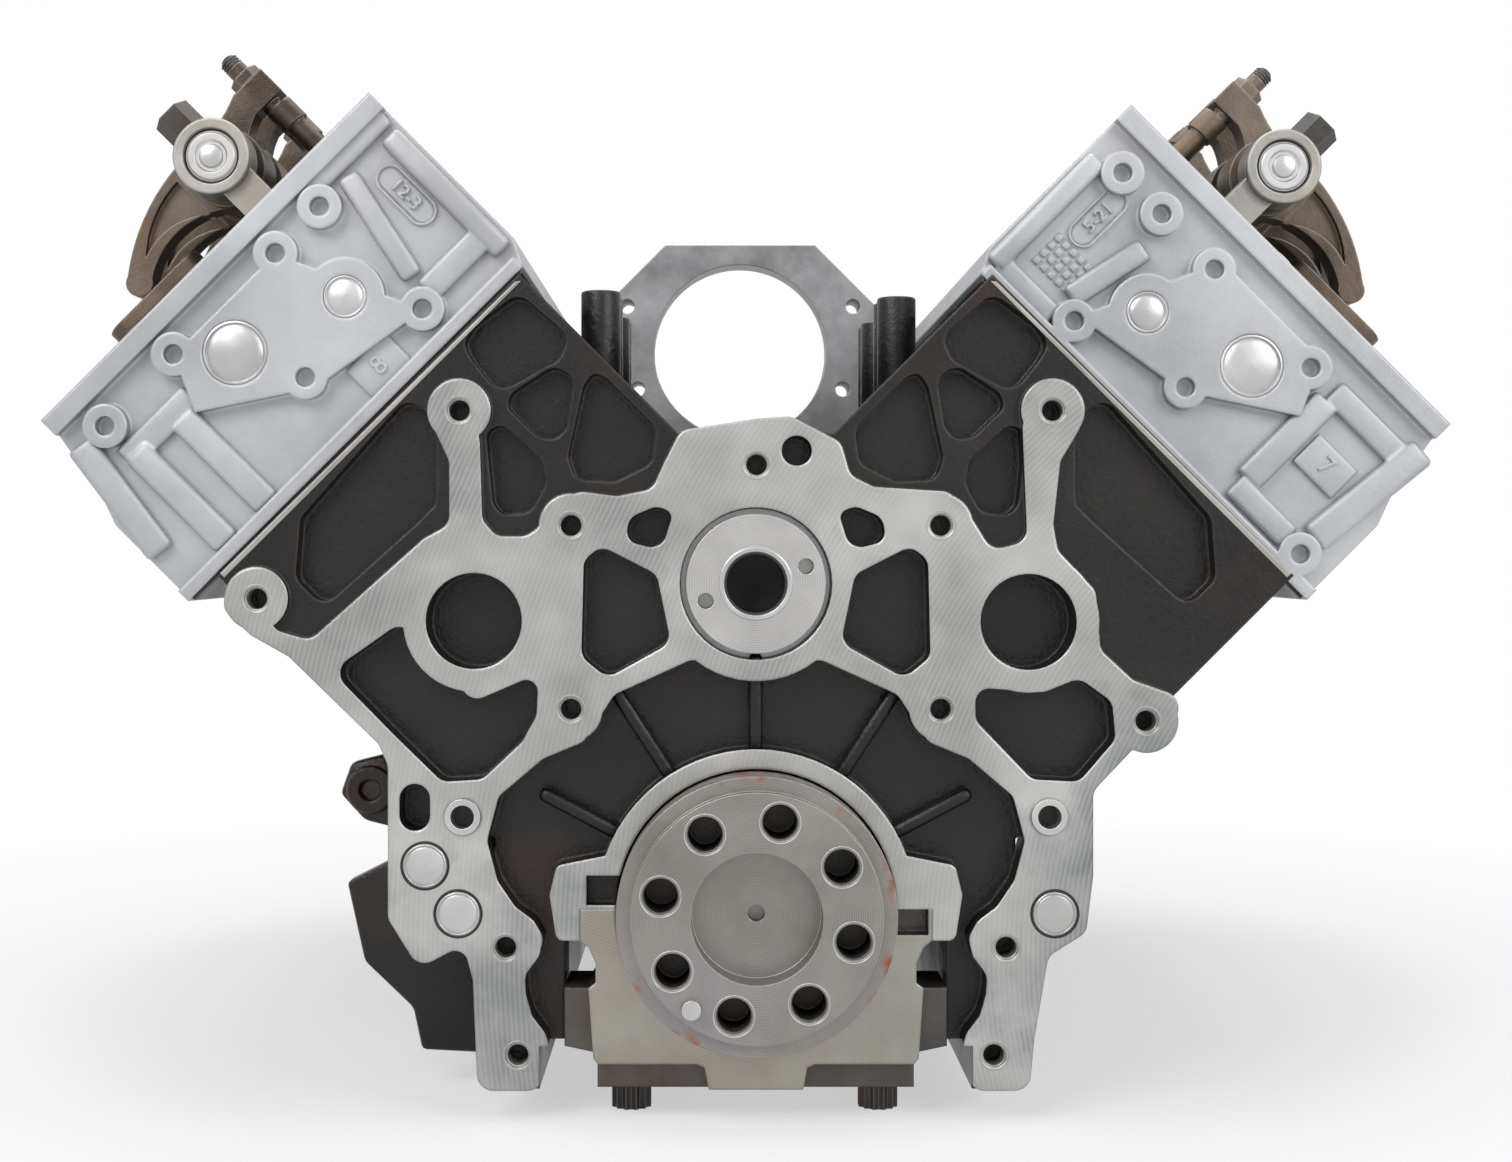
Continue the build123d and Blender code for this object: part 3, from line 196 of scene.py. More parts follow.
def slabFrom(outline, depth, bevel, name, segments=2):  # outline in x and y, raised along z
    piece = ringOfPoints([(x, y, 0) for x, y in outline], "NGON", name)
    bpy.ops.mesh.extrude_region_move(TRANSFORM_OT_translate={"value": (0, 0, depth)})
    bpy.ops.mesh.select_all(action="SELECT")
    bpy.ops.mesh.normals_make_consistent(inside=False)
    bpy.ops.object.mode_set(mode="OBJECT")
    if bevel:
        edges = piece.modifiers.new("edges", "BEVEL")
        edges.width = bevel
        edges.segments = segments
        edges.limit_method = "ANGLE"
        edges.angle_limit = math.radians(20)
        applyModifiers(piece)
    return piece


# shader helpers
def newGroup(name, inputs, outputs):
    group = bpy.data.node_groups.new(name, "ShaderNodeTree")
    for label, kind, value in inputs:
        socket = group.interface.new_socket(label, in_out="INPUT", socket_type=kind)
        socket.default_value = value
    for label, kind in outputs:
        group.interface.new_socket(label, in_out="OUTPUT", socket_type=kind)
    start = group.nodes.new("NodeGroupInput")
    end = group.nodes.new("NodeGroupOutput")
    return group, start, end


def addNode(tree, kind, settings=None, **values):
    node = tree.nodes.new(kind)
    for key, value in values.items():
        setattr(node, key, value)
    for key, value in (settings or {}).items():
        node.inputs[key].default_value = value
    return node


def plug(tree, value, socket):
    if hasattr(value, "is_output"):
        tree.links.new(value, socket)
    else:
        socket.default_value = value


def mixColours(tree, factor, first, second):
    node = addNode(tree, "ShaderNodeMix", data_type="RGBA")
    for index, value in ((0, factor), (6, first), (7, second)):
        plug(tree, value, node.inputs[index])
    return node.outputs[2]


def mixValues(tree, factor, first, second):
    node = addNode(tree, "ShaderNodeMix", data_type="FLOAT")
    for index, value in ((0, factor), (2, first), (3, second)):
        plug(tree, value, node.inputs[index])
    return node.outputs[0]


def mathNode(tree, operation, first, second=None, clamp=False):
    node = addNode(tree, "ShaderNodeMath", operation=operation, use_clamp=clamp)
    plug(tree, first, node.inputs[0])
    if second is not None:
        plug(tree, second, node.inputs[1])
    return node.outputs[0]


def rampNode(tree, value, low, high, start=0.0, end=1.0):
    node = addNode(tree, "ShaderNodeMapRange", {1: low, 2: high, 3: start, 4: end})
    tree.links.new(value, node.inputs[0])
    return node.outputs[0]


def noiseAt(tree, scale, detail=3.0, roughness=0.55):
    place = addNode(tree, "ShaderNodeTexCoord")
    noise = addNode(tree, "ShaderNodeTexNoise", {"Detail": detail, "Roughness": roughness})
    plug(tree, scale, noise.inputs["Scale"])
    tree.links.new(place.outputs["Object"], noise.inputs["Vector"])
    return noise.outputs["Fac"]


# grain of a sand casting: fine bumps, lumps, a slow mottle and a tint, each with its detail and roughness
grainLook = dict(
    fine=(4.0, 0.65), lumps=(3.0, 0.6), lumpScale=0.22, mottle=(5.0, 0.6), mottleRange=(0.35, 0.68),
    tint=(4.0, 0.65), tintScale=0.7, tintRange=(0.52, 0.7),
)
castGrain, start, end = newGroup(
    "castGrain",
    (("size", "NodeSocketFloat", 900.0), ("mottle", "NodeSocketFloat", 18.0)),
    (("height", "NodeSocketFloat"), ("mottle", "NodeSocketFloat"), ("tint", "NodeSocketFloat")),
)
fine = noiseAt(castGrain, start.outputs["size"], *grainLook["fine"])
lumpSize = mathNode(castGrain, "MULTIPLY", start.outputs["size"], grainLook["lumpScale"])
lumps = noiseAt(castGrain, lumpSize, *grainLook["lumps"])
castGrain.links.new(mathNode(castGrain, "ADD", fine, lumps), end.inputs["height"])
broad = noiseAt(castGrain, start.outputs["mottle"], *grainLook["mottle"])
castGrain.links.new(rampNode(castGrain, broad, *grainLook["mottleRange"]), end.inputs["mottle"])
tintSize = mathNode(castGrain, "MULTIPLY", start.outputs["mottle"], grainLook["tintScale"])
hue = noiseAt(castGrain, tintSize, *grainLook["tint"])
castGrain.links.new(rampNode(castGrain, hue, *grainLook["tintRange"]), end.inputs["tint"])

# arcs left by a face mill: wide rings round a distant centre, broken by noise
markLook = dict(
    rings={"Distortion": 1.2, "Detail": 3.0, "Detail Scale": 0.8}, broken=(45.0, 3.0),
    stain=(11.0, 5.0, 0.62), stainRange=(0.5, 0.68),
)
millMarks, start, end = newGroup(
    "millMarks",
    (("spacing", "NodeSocketFloat", 260.0), ("centre", "NodeSocketVector", (0.35, 0.0, 0.05))),
    (("marks", "NodeSocketFloat"), ("stain", "NodeSocketFloat")),
)
place = addNode(millMarks, "ShaderNodeTexCoord")
shift = addNode(millMarks, "ShaderNodeVectorMath", operation="SUBTRACT")
millMarks.links.new(place.outputs["Object"], shift.inputs[0])
millMarks.links.new(start.outputs["centre"], shift.inputs[1])
rings = addNode(millMarks, "ShaderNodeTexWave", markLook["rings"], wave_type="RINGS", rings_direction="Y")
millMarks.links.new(shift.outputs[0], rings.inputs["Vector"])
millMarks.links.new(start.outputs["spacing"], rings.inputs["Scale"])
broken = noiseAt(millMarks, *markLook["broken"])
millMarks.links.new(mathNode(millMarks, "MULTIPLY", rings.outputs["Fac"], broken), end.inputs["marks"])
stains = noiseAt(millMarks, *markLook["stain"])
millMarks.links.new(rampNode(millMarks, stains, *markLook["stainRange"]), end.inputs["stain"])

# fine rings left by a lathe round an axis along y
turnedRings, start, end = newGroup(
    "turnedRings",
    (("spacing", "NodeSocketFloat", 420.0), ("centre", "NodeSocketVector", (0.0, 0.0, 0.0))),
    (("rings", "NodeSocketFloat"), ("radius", "NodeSocketFloat")),
)
place = addNode(turnedRings, "ShaderNodeTexCoord")
shift = addNode(turnedRings, "ShaderNodeVectorMath", operation="SUBTRACT")
flatten = addNode(turnedRings, "ShaderNodeVectorMath", {1: (1.0, 0.0, 1.0)}, operation="MULTIPLY")
turnedRings.links.new(place.outputs["Object"], shift.inputs[0])
turnedRings.links.new(start.outputs["centre"], shift.inputs[1])
turnedRings.links.new(shift.outputs[0], flatten.inputs[0])
reach = addNode(turnedRings, "ShaderNodeVectorMath", operation="LENGTH")
turnedRings.links.new(flatten.outputs[0], reach.inputs[0])
turnedRings.links.new(reach.outputs["Value"], end.inputs["radius"])
rings = addNode(turnedRings, "ShaderNodeTexWave", {"Distortion": 0.3, "Detail": 1.0}, wave_type="RINGS",
                rings_direction="SPHERICAL")
turnedRings.links.new(flatten.outputs[0], rings.inputs["Vector"])
turnedRings.links.new(start.outputs["spacing"], rings.inputs["Scale"])
turnedRings.links.new(rings.outputs["Fac"], end.inputs["rings"])

# worn edges, from how far the surface bends within a millimetre
wearRange = (0.995, 0.9)  # cosine of the bend where wear starts and where it is full
edgeWear, start, end = newGroup(
    "edgeWear",
    (("radius", "NodeSocketFloat", 0.0012),),
    (("worn", "NodeSocketFloat"), ("rounded", "NodeSocketVector")),
)
softNormal = addNode(edgeWear, "ShaderNodeBevel", samples=6)
flat = addNode(edgeWear, "ShaderNodeNewGeometry")
edgeWear.links.new(start.outputs["radius"], softNormal.inputs["Radius"])
bend = addNode(edgeWear, "ShaderNodeVectorMath", operation="DOT_PRODUCT")
edgeWear.links.new(softNormal.outputs["Normal"], bend.inputs[0])
edgeWear.links.new(flat.outputs["Normal"], bend.inputs[1])
edgeWear.links.new(rampNode(edgeWear, bend.outputs["Value"], *wearRange), end.inputs["worn"])
edgeWear.links.new(softNormal.outputs["Normal"], end.inputs["rounded"])


def newMaterial(name, settings):
    material = bpy.data.materials.new(name)
    material.use_nodes = True
    tree = material.node_tree
    shader = tree.nodes["Principled BSDF"]
    shader.inputs["Metallic"].default_value = settings["metal"]
    shader.inputs["Roughness"].default_value = settings["rough"]
    return material, tree, shader


def useGroup(tree, group, **values):
    node = tree.nodes.new("ShaderNodeGroup")
    node.node_tree = group
    for key, value in values.items():
        node.inputs[key].default_value = value
    return node


castShared = dict(roughSpread=0.16, relief=0.0004)  # for every cast material: roughness over the mottle, bump


def makeCast(name, settings):
    material, tree, shader = newMaterial(name, settings)
    grain = useGroup(tree, castGrain, size=settings["grain"], mottle=settings["mottle"])
    wear = useGroup(tree, edgeWear, radius=settings["edge"])
    colour = mixColours(tree, grain.outputs["mottle"], (*settings["dark"], 1), (*settings["light"], 1))
    tinted = mathNode(tree, "MULTIPLY", grain.outputs["tint"], settings["tinted"])
    colour = mixColours(tree, tinted, colour, (*settings["tint"], 1))
    worn = mathNode(tree, "MULTIPLY", wear.outputs["worn"], settings["wear"], clamp=True)
    colour = mixColours(tree, worn, colour, (*settings["bare"], 1))
    tree.links.new(colour, shader.inputs["Base Color"])
    rough = rampNode(tree, grain.outputs["mottle"], 0.0, 1.0, settings["rough"],
                     settings["rough"] + castShared["roughSpread"])
    tree.links.new(rough, shader.inputs["Roughness"])
    bump = addNode(tree, "ShaderNodeBump", {"Strength": settings["bump"], "Distance": castShared["relief"]})
    tree.links.new(grain.outputs["height"], bump.inputs["Height"])
    tree.links.new(wear.outputs["rounded"], bump.inputs["Normal"])
    tree.links.new(bump.outputs["Normal"], shader.inputs["Normal"])
    return dict(material=material, tree=tree, shader=shader, colour=colour, rough=rough, bump=bump,
                grain=grain)


materials = {}
castLooks = {
    "headCast": dict(
        metal=0.5, rough=0.4, grain=1300.0, mottle=8.0, edge=0.0022, dark=(0.33, 0.34, 0.36),
        light=(0.52, 0.53, 0.545), tint=(0.5, 0.4, 0.385), tinted=0.5, bare=(0.66, 0.67, 0.69), wear=0.55,
        bump=0.3,
    ),
    "rockerIron": dict(
        metal=0.75, rough=0.3, grain=800.0, mottle=22.0, edge=0.0012, dark=(0.055, 0.043, 0.034),
        light=(0.17, 0.14, 0.11), tint=(0.15, 0.085, 0.045), tinted=0.6, bare=(0.36, 0.32, 0.28),
        wear=0.6, bump=0.4,
    ),
    "standIronAndHighlight": dict(
        metal=0.8, rough=0.34, grain=1100.0, mottle=20.0, edge=0.001, dark=(0.27, 0.265, 0.25),
        light=(0.4, 0.39, 0.37), tint=(0.24, 0.18, 0.13), tinted=0.5, bare=(0.6, 0.59, 0.56), wear=0.5,
        bump=0.22,
    ),
    "boltBlackAndHoleShade": dict(
        metal=0.8, rough=0.33, grain=1500.0, mottle=40.0, edge=0.0008, dark=(0.03, 0.028, 0.027),
        light=(0.075, 0.07, 0.065), tint=(0.1, 0.06, 0.04), tinted=0.4, bare=(0.3, 0.28, 0.26), wear=0.5,
        bump=0.2,
    ),
    "crankSteel": dict(
        metal=0.85, rough=0.33, grain=700.0, mottle=14.0, edge=0.0008, dark=(0.17, 0.162, 0.15),
        light=(0.3, 0.288, 0.27), tint=(0.17, 0.16, 0.21), tinted=0.55, bare=(0.46, 0.44, 0.41),
        wear=0.45, bump=0.1,
    ),
    "brightSteel": dict(
        metal=0.88, rough=0.27, grain=1500.0, mottle=18.0, edge=0.0006, dark=(0.42, 0.42, 0.42),
        light=(0.56, 0.56, 0.56), tint=(0.4, 0.36, 0.32), tinted=0.3, bare=(0.72, 0.72, 0.71), wear=0.4,
        bump=0.08,
    ),
    "springSteel": dict(
        metal=0.8, rough=0.3, grain=1300.0, mottle=35.0, edge=0.0006, dark=(0.06, 0.045, 0.035),
        light=(0.16, 0.12, 0.09), tint=(0.2, 0.1, 0.05), tinted=0.4, bare=(0.36, 0.3, 0.25), wear=0.4,
        bump=0.15,
    ),
    "coverCast": dict(
        metal=0.6, rough=0.4, grain=1100.0, mottle=26.0, edge=0.0012, dark=(0.2, 0.2, 0.205),
        light=(0.36, 0.36, 0.37), tint=(0.12, 0.11, 0.105), tinted=0.5, bare=(0.55, 0.55, 0.56), wear=0.5,
        bump=0.3,
    ),
    "pistonAlloy": dict(
        metal=0.7, rough=0.34, grain=1300.0, mottle=20.0, edge=0.0008, dark=(0.36, 0.36, 0.355),
        light=(0.5, 0.5, 0.49), tint=(0.25, 0.22, 0.2), tinted=0.4, bare=(0.65, 0.65, 0.64), wear=0.3,
        bump=0.12,
    ),
    "sealRubberAndHoleShade": dict(
        metal=0.0, rough=0.6, grain=1500.0, mottle=30.0, edge=0.0006, dark=(0.02, 0.02, 0.02),
        light=(0.045, 0.045, 0.045), tint=(0.05, 0.04, 0.03), tinted=0.2, bare=(0.06, 0.06, 0.06),
        wear=0.2, bump=0.1,
    ),
    "castBlack": dict(
        metal=0.3, rough=0.24, grain=460.0, mottle=13.0, edge=0.0018, dark=(0.0055, 0.0055, 0.0055),
        light=(0.014, 0.0125, 0.0115), tint=(0.045, 0.019, 0.01), tinted=0.6, bare=(0.1, 0.085, 0.075),
        wear=0.3, bump=0.85,
    ),
}
for name, settings in castLooks.items():
    materials[name] = makeCast(name, settings)["material"]


# a casting that is milled bright wherever it lies in one plane and faces the rear
def makeMilledCast(name, castSettings, milled):
    look = makeCast(name, castSettings)
    tree, shader = look["tree"], look["shader"]
    split = addNode(tree, "ShaderNodeSeparateXYZ")
    tree.links.new(addNode(tree, "ShaderNodeTexCoord").outputs["Object"], split.inputs[0])
    facing = addNode(tree, "ShaderNodeSeparateXYZ")
    tree.links.new(addNode(tree, "ShaderNodeNewGeometry").outputs["Normal"], facing.inputs[0])
    inPlane = mathNode(tree, "LESS_THAN", split.outputs["Y"], milled["rear"] + milled["tolerance"])
    toRear = mathNode(tree, "LESS_THAN", facing.outputs["Y"], milled["facing"])
    machined = mathNode(tree, "MULTIPLY", inPlane, toRear)
    marks = useGroup(tree, millMarks, spacing=milled["spacing"], centre=milled["centre"])
    patches = rampNode(tree, noiseAt(tree, *milled["patches"]), *milled["patchRange"])
    colour = mixColours(tree, patches, (*milled["shade"], 1), (*milled["base"], 1))
    stain = mathNode(tree, "MULTIPLY", marks.outputs["stain"], milled["stained"])
    colour = mixColours(tree, stain, colour, (*milled["stain"], 1))
    lines = marks.outputs["marks"]
    shine = mathNode(tree, "MULTIPLY", lines, milled["lineMix"], clamp=True)
    colour = mixColours(tree, shine, colour, (*milled["bright"], 1))
    tree.links.new(mixColours(tree, machined, look["colour"], colour), shader.inputs["Base Color"])
    tree.links.new(rampNode(tree, machined, 0.0, 1.0, castSettings["metal"], milled["metal"]),
                   shader.inputs["Metallic"])
    dull = milled["rough"] + milled["roughSpread"]
    polish = rampNode(tree, lines, 0.0, milled["lineFull"], milled["rough"], dull)
    tree.links.new(mixValues(tree, machined, look["rough"], polish), shader.inputs["Roughness"])
    relief = mathNode(tree, "MULTIPLY", lines, milled["relief"])
    height = mixValues(tree, machined, look["grain"].outputs["height"], relief)
    tree.links.new(height, look["bump"].inputs["Height"])
    return look["material"]


milledLook = dict(
    rear=blockRear, tolerance=0.0004, facing=-0.98, base=(0.5, 0.5, 0.485), shade=(0.3, 0.3, 0.29),
    bright=(0.62, 0.62, 0.6), stain=(0.16, 0.175, 0.19), stained=0.85, metal=0.8, rough=0.28,
    roughSpread=0.14, patches=(16.0, 3.0), patchRange=(0.35, 0.65), lineMix=0.35, lineFull=0.8,
    relief=0.05, spacing=150.0, centre=(0.33, 0.0, -0.02),
)
capLook = dict(
    milledLook, base=(0.36, 0.355, 0.32), shade=(0.25, 0.25, 0.22), bright=(0.5, 0.49, 0.45),
    stain=(0.2, 0.1, 0.06), stained=0.4, spacing=230.0, centre=(-0.2, 0.0, -0.4),
)
materials["blockBlack"] = makeMilledCast("blockBlack", castLooks["castBlack"], milledLook)
capCast = dict(castLooks["castBlack"], dark=(0.05, 0.047, 0.042), light=(0.12, 0.11, 0.1), metal=0.5)
materials["capIron"] = makeMilledCast("capIron", capCast, capLook)

# turned faces: the lathe's rings show in the gloss and the height, with reddish oil creeping round a rim
turnedLook = dict(
    ringMix=0.3, grain=0.4, rings=0.5, oil=(0.3, 0.1, 0.035), oilWidth=0.004, spots=(60.0, 4.0, 0.6),
    spotRange=(0.55, 0.68),
)


def makeTurned(name, castSettings, spacing, centre, oilRadius=0.0):
    look = makeCast(name, castSettings)
    tree, shader = look["tree"], look["shader"]
    turned = useGroup(tree, turnedRings, spacing=spacing, centre=centre)
    colour = mixColours(tree, mathNode(tree, "MULTIPLY", turned.outputs["rings"], turnedLook["ringMix"]),
                        look["colour"], (*castSettings["bare"], 1))
    if oilRadius:
        rim = rampNode(tree, turned.outputs["radius"], oilRadius, oilRadius + turnedLook["oilWidth"])
        spots = rampNode(tree, noiseAt(tree, *turnedLook["spots"]), *turnedLook["spotRange"])
        colour = mixColours(tree, mathNode(tree, "MULTIPLY", rim, spots), colour, (*turnedLook["oil"], 1))
    tree.links.new(colour, shader.inputs["Base Color"])
    grain = mathNode(tree, "MULTIPLY", look["grain"].outputs["height"], turnedLook["grain"])
    rings = mathNode(tree, "MULTIPLY", turned.outputs["rings"], turnedLook["rings"])
    tree.links.new(mathNode(tree, "ADD", grain, rings), look["bump"].inputs["Height"])
    return look["material"]


camSteel = dict(castLooks["brightSteel"], dark=(0.36, 0.355, 0.345), light=(0.5, 0.495, 0.48))
materials["crankTurned"] = makeTurned("crankTurned", castLooks["crankSteel"], spacing=330.0, centre=(0, 0, 0),
                                      oilRadius=0.0535)
materials["camTurned"] = makeTurned("camTurned", camSteel, spacing=300.0, centre=(0, 0, camHeight))
print("materials made")

nodeFinish = {
    "cylinder_block": "blockBlack", "rear_main_cap": "capIron", "main_caps": "castBlack",
    "main_cap_bolts": "boltBlackAndHoleShade", "main_bearings": "brightSteel", "cam_bearings": "brightSteel",
    "rear_core_plugs": "brightSteel", "dowel_sleeves": "brightSteel", "front_cover": "coverCast",
    "crank_front_seal": "sealRubberAndHoleShade", "head_left": "headCast", "head_right": "headCast",
    "head_gasket_left": "boltBlackAndHoleShade", "head_gasket_right": "boltBlackAndHoleShade", "head_bolts": "boltBlackAndHoleShade",
    "head_plugs": "brightSteel", "rocker_shaft_left": "brightSteel", "rocker_shaft_right": "brightSteel",
    "rocker_stands_left": "standIronAndHighlight", "rocker_stands_right": "standIronAndHighlight", "stand_bolts": "boltBlackAndHoleShade",
    "crankshaft": "crankTurned", "crank_gear": "crankSteel", "flange_dowel": "brightSteel",
    "camshaft": "camTurned", "cam_gear": "crankSteel",
}
groupFinish = {"piston": "pistonAlloy", "valves": "springSteel", "valve_bridges": "rockerIron",
               "valve_springs": "springSteel", "pushrods": "rockerIron", "rockers": "rockerIron"}
for name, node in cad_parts.items():
    finish = nodeFinish.get(name)
    if finish is None:
        matches = [look for stem, look in groupFinish.items() if name.startswith(stem + "_")]
        finish = matches[0] if matches else "brightSteel"
    node.data.materials.clear()
    node.data.materials.append(materials[finish])
print("nodes dressed")

# valve springs: open coils in place of the plain tubes
springLook = dict(
    radius=0.0127, wire=0.0018, halfTurns=11, sides=8, steps=9, seat=0.0643, top=0.1037, travel=0.0096,
)


def springModel(look):
    clearSelection()
    bpy.ops.mesh.primitive_circle_add(vertices=look["sides"], radius=look["wire"], fill_type="NOTHING",
                                      location=(look["radius"], 0, 0), rotation=(math.radians(90), 0, 0))
    coil = bpy.context.object
    bpy.ops.object.transform_apply(location=True, rotation=True, scale=True)
    rise = look["top"] - look["seat"] - 2 * look["wire"]
    screw = coil.modifiers.new("coil", "SCREW")
    screw.axis = "Z"
    screw.iterations = look["halfTurns"]
    screw.angle = math.pi
    screw.steps = screw.render_steps = look["steps"]
    screw.screw_offset = rise / screw.iterations
    applyModifiers(coil)
    bpy.ops.object.mode_set(mode="EDIT")
    bpy.ops.mesh.select_all(action="SELECT")
    bpy.ops.mesh.remove_doubles(threshold=1e-6)
    bpy.ops.mesh.fill_holes(sides=0)
    bpy.ops.object.mode_set(mode="OBJECT")
    return settle(coil, Matrix.Translation((0, 0, look["wire"])), "springModel", materials["springSteel"], 60)


spring = springModel(springLook)
for bank, side in sides.items():
    for kind, shift in valveShift.items():
        places = [bankMatrix(side, t, headDeck + springLook["seat"], y)
                  for y in cylinderRows(bank, shift) for t in valveAcross]
        coils = repeatModel(spring, places, f"springs_{bank}_{kind}")
        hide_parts(f"valve_springs_{bank}_{kind}")
        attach(coils, "block")
        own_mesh(coils)
dropModel(spring)
print("valve springs coiled")

# main cap bolts: twelve-point heads on a round flange, with a dished end
capBoltLook = dict(
    across=0.0537, points=12, crown=0.0088, valley=0.0074, flange=0.0125, washer=0.0035,
    insets=((0.0012, -0.0004), (0.0022, 0.002)), topEdge=(0.0006, 0.0008), footEdge=(0.0022, 0.0012),
)
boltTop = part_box("main_caps")[0][2]
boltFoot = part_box("main_cap_bolts")[0][2]


def splineBolt(look):
    tall = boltTop - boltFoot
    clearSelection()
    middle = -(tall + look["washer"]) / 2
    bpy.ops.mesh.primitive_cylinder_add(vertices=2 * look["points"], radius=look["crown"],
                                        depth=tall - look["washer"], location=(0, 0, middle))
    head = bpy.context.object
    bpy.ops.object.transform_apply(location=True, rotation=True, scale=True)
    bpy.ops.object.mode_set(mode="EDIT")
    mesh = bmesh.from_edit_mesh(head.data)
    for vertex in mesh.verts:
        step = round(math.atan2(vertex.co.y, vertex.co.x) / (math.pi / look["points"]))
        vertex.select = step % 2 == 0
    mesh.select_mode = {"VERT"}
    mesh.select_flush(True)
    bmesh.update_edit_mesh(head.data)
    shrink = look["valley"] / look["crown"]
    bpy.ops.transform.resize(value=(shrink, shrink, 1))
    mesh = bmesh.from_edit_mesh(head.data)
    for face in mesh.faces:
        face.select = face.normal.z < -0.9
    bmesh.update_edit_mesh(head.data)
    for inset, rise in look["insets"]:
        bpy.ops.mesh.inset(thickness=inset)
        bpy.ops.transform.translate(value=(0, 0, rise))
    bpy.ops.object.mode_set(mode="OBJECT")
    radius, foot = look["flange"], -look["washer"]
    topEdge, footEdge = look["topEdge"], look["footEdge"]
    profile = [(0, 0), (radius - topEdge[0], 0), (radius, -topEdge[1]), (radius, foot + footEdge[1]),
               (radius - footEdge[0], foot), (0, foot)]
    flange = latheProfile(profile, 28, "boltFlange")
    return joinPieces([head, flange], "capBoltModel")


capBolt = settle(splineBolt(capBoltLook), unturned, "capBoltModel", materials["boltBlackAndHoleShade"])
places = [Matrix.Translation((x, y, boltTop)) for y in mainPlaces
          for x in (-capBoltLook["across"], capBoltLook["across"])]
bolts = repeatModel(capBolt, places, "capBoltHeads")
dropModel(capBolt)
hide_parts("main_cap_bolts")
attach(bolts, "block")
print("cap bolts cut")

# rocker gear: threaded adjusters, and a ring and a dished core at the end of each shaft
adjusterLook = dict(
    across=-0.096, start=0.1565, top=0.1665, root=0.0039, crest=0.0046, threads=7, nose=0.7, tip=0.0012,
)
shaftLook = dict(
    ringOuter=0.0166, ringInner=0.0118, proud=0.0016, skirt=0.0022, lap=0.0004, edge=0.0007,
    innerEdge=(0.0006, 0.0008),
    core=(
        (pinpoint, -0.001), (0.0105, -0.001), (0.0105, 0.0006), (0.0098, 0.0012), (0.0072, 0.0012),
        (0.0064, 0.0002), (0.0052, 0.0002), (0.0047, 0.0014), (0.0024, 0.0021), (pinpoint, 0.0022),
    ),
)


def adjusterModel(look):
    rise = look["top"] - look["start"]
    pitch = rise / look["threads"]
    profile = [(pinpoint, 0)]
    for k in range(look["threads"]):
        profile += [(look["root"], pitch * k), (look["crest"], pitch * (k + 0.5))]
    profile += [(look["root"], rise), (look["root"] * look["nose"], rise + look["tip"]),
                (pinpoint, rise + look["tip"])]
    return latheProfile(profile, 14, "adjusterModel")


adjuster = settle(adjusterModel(adjusterLook), unturned, "adjusterModel", materials["boltBlackAndHoleShade"])
for bank, side in sides.items():
    for kind, shift in valveShift.items():
        places = [bankMatrix(side, adjusterLook["across"], headDeck + adjusterLook["start"], y)
                  for y in cylinderRows(bank, shift)]
        studs = repeatModel(adjuster, places, f"adjusterThreads_{bank}_{kind}")
        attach(studs, f"rockers_{bank}_{kind}")
dropModel(adjuster)


def shaftRingProfile(look):
    inner, outer, proud = look["ringInner"], look["ringOuter"], look["proud"]
    foot = (inner - look["lap"], -look["skirt"])
    slope, sink = look["innerEdge"]
    return [foot, (outer, -look["skirt"]), (outer, proud - look["edge"]), (outer - look["edge"], proud),
            (inner + slope, proud), (inner, proud - sink), foot]


for bank, side in sides.items():
    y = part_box(f"rocker_shaft_{bank}")[0][1]
    centre = bankPoint(side, rockerAcross, headDeck + rockerUp, y)
    matrix = rearMatrix(centre.x, centre.y, centre.z)
    ring = latheProfile(shaftRingProfile(shaftLook), 48, "shaftRing")
    ring = settle(ring, matrix, f"shaftRing_{bank}", materials["standIronAndHighlight"])
    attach(ring, "block")
    core = settle(latheProfile(shaftLook["core"], 40, "shaftCore"), matrix, f"shaftCore_{bank}",
                  materials["brightSteel"])
    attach(core, "block")
print("rocker gear detailed")

# holes of the rear face: a bright chamfer and a thread that goes down into the dark
boltHoles = [(-0.1259, 0.2115), (0.1259, 0.2115), (-0.0785, 0.1627), (0.0785, 0.1627), (-0.0785, 0.0847),
             (0.0785, 0.0847), (-0.1062, -0.0164), (0.1062, -0.0164), (-0.101, -0.062), (0.101, -0.062),
             (-0.2119, 0.1316), (0.1656, 0.0797), (0.0003, 0.1885)]
holeLook = dict(
    rim=0.0064, rimWidth=0.0005, skirt=0.0003, bore=0.005, root=0.0047, crest=0.0043, proud=0.00012,
    chamfer=0.0012, pitch=0.0015, threads=8, lap=0.00001,
)


def holeModel(look):
    foot = (look["rim"], -look["skirt"])
    profile = [foot, (look["rim"], look["proud"]), (look["rim"] - look["rimWidth"], look["proud"]),
               (look["root"], -look["chamfer"])]
    for k in range(look["threads"]):
        depth = -look["chamfer"] - look["pitch"] * k
        profile += [(look["crest"], depth - look["pitch"] / 2), (look["root"], depth - look["pitch"])]
    deep = -look["chamfer"] - look["pitch"] * look["threads"]
    wall = look["bore"] - look["lap"]
    profile += [(wall, deep), (wall, -look["skirt"]), foot]
    return latheProfile(profile, 24, "holeModel")


hole = settle(holeModel(holeLook), unturned, "holeModel", materials["standIronAndHighlight"])
rims = repeatModel(hole, [rearMatrix(x, blockRear, z) for x, z in boltHoles], "boltHoleThreads")
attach(rims, "block")
dropModel(hole)
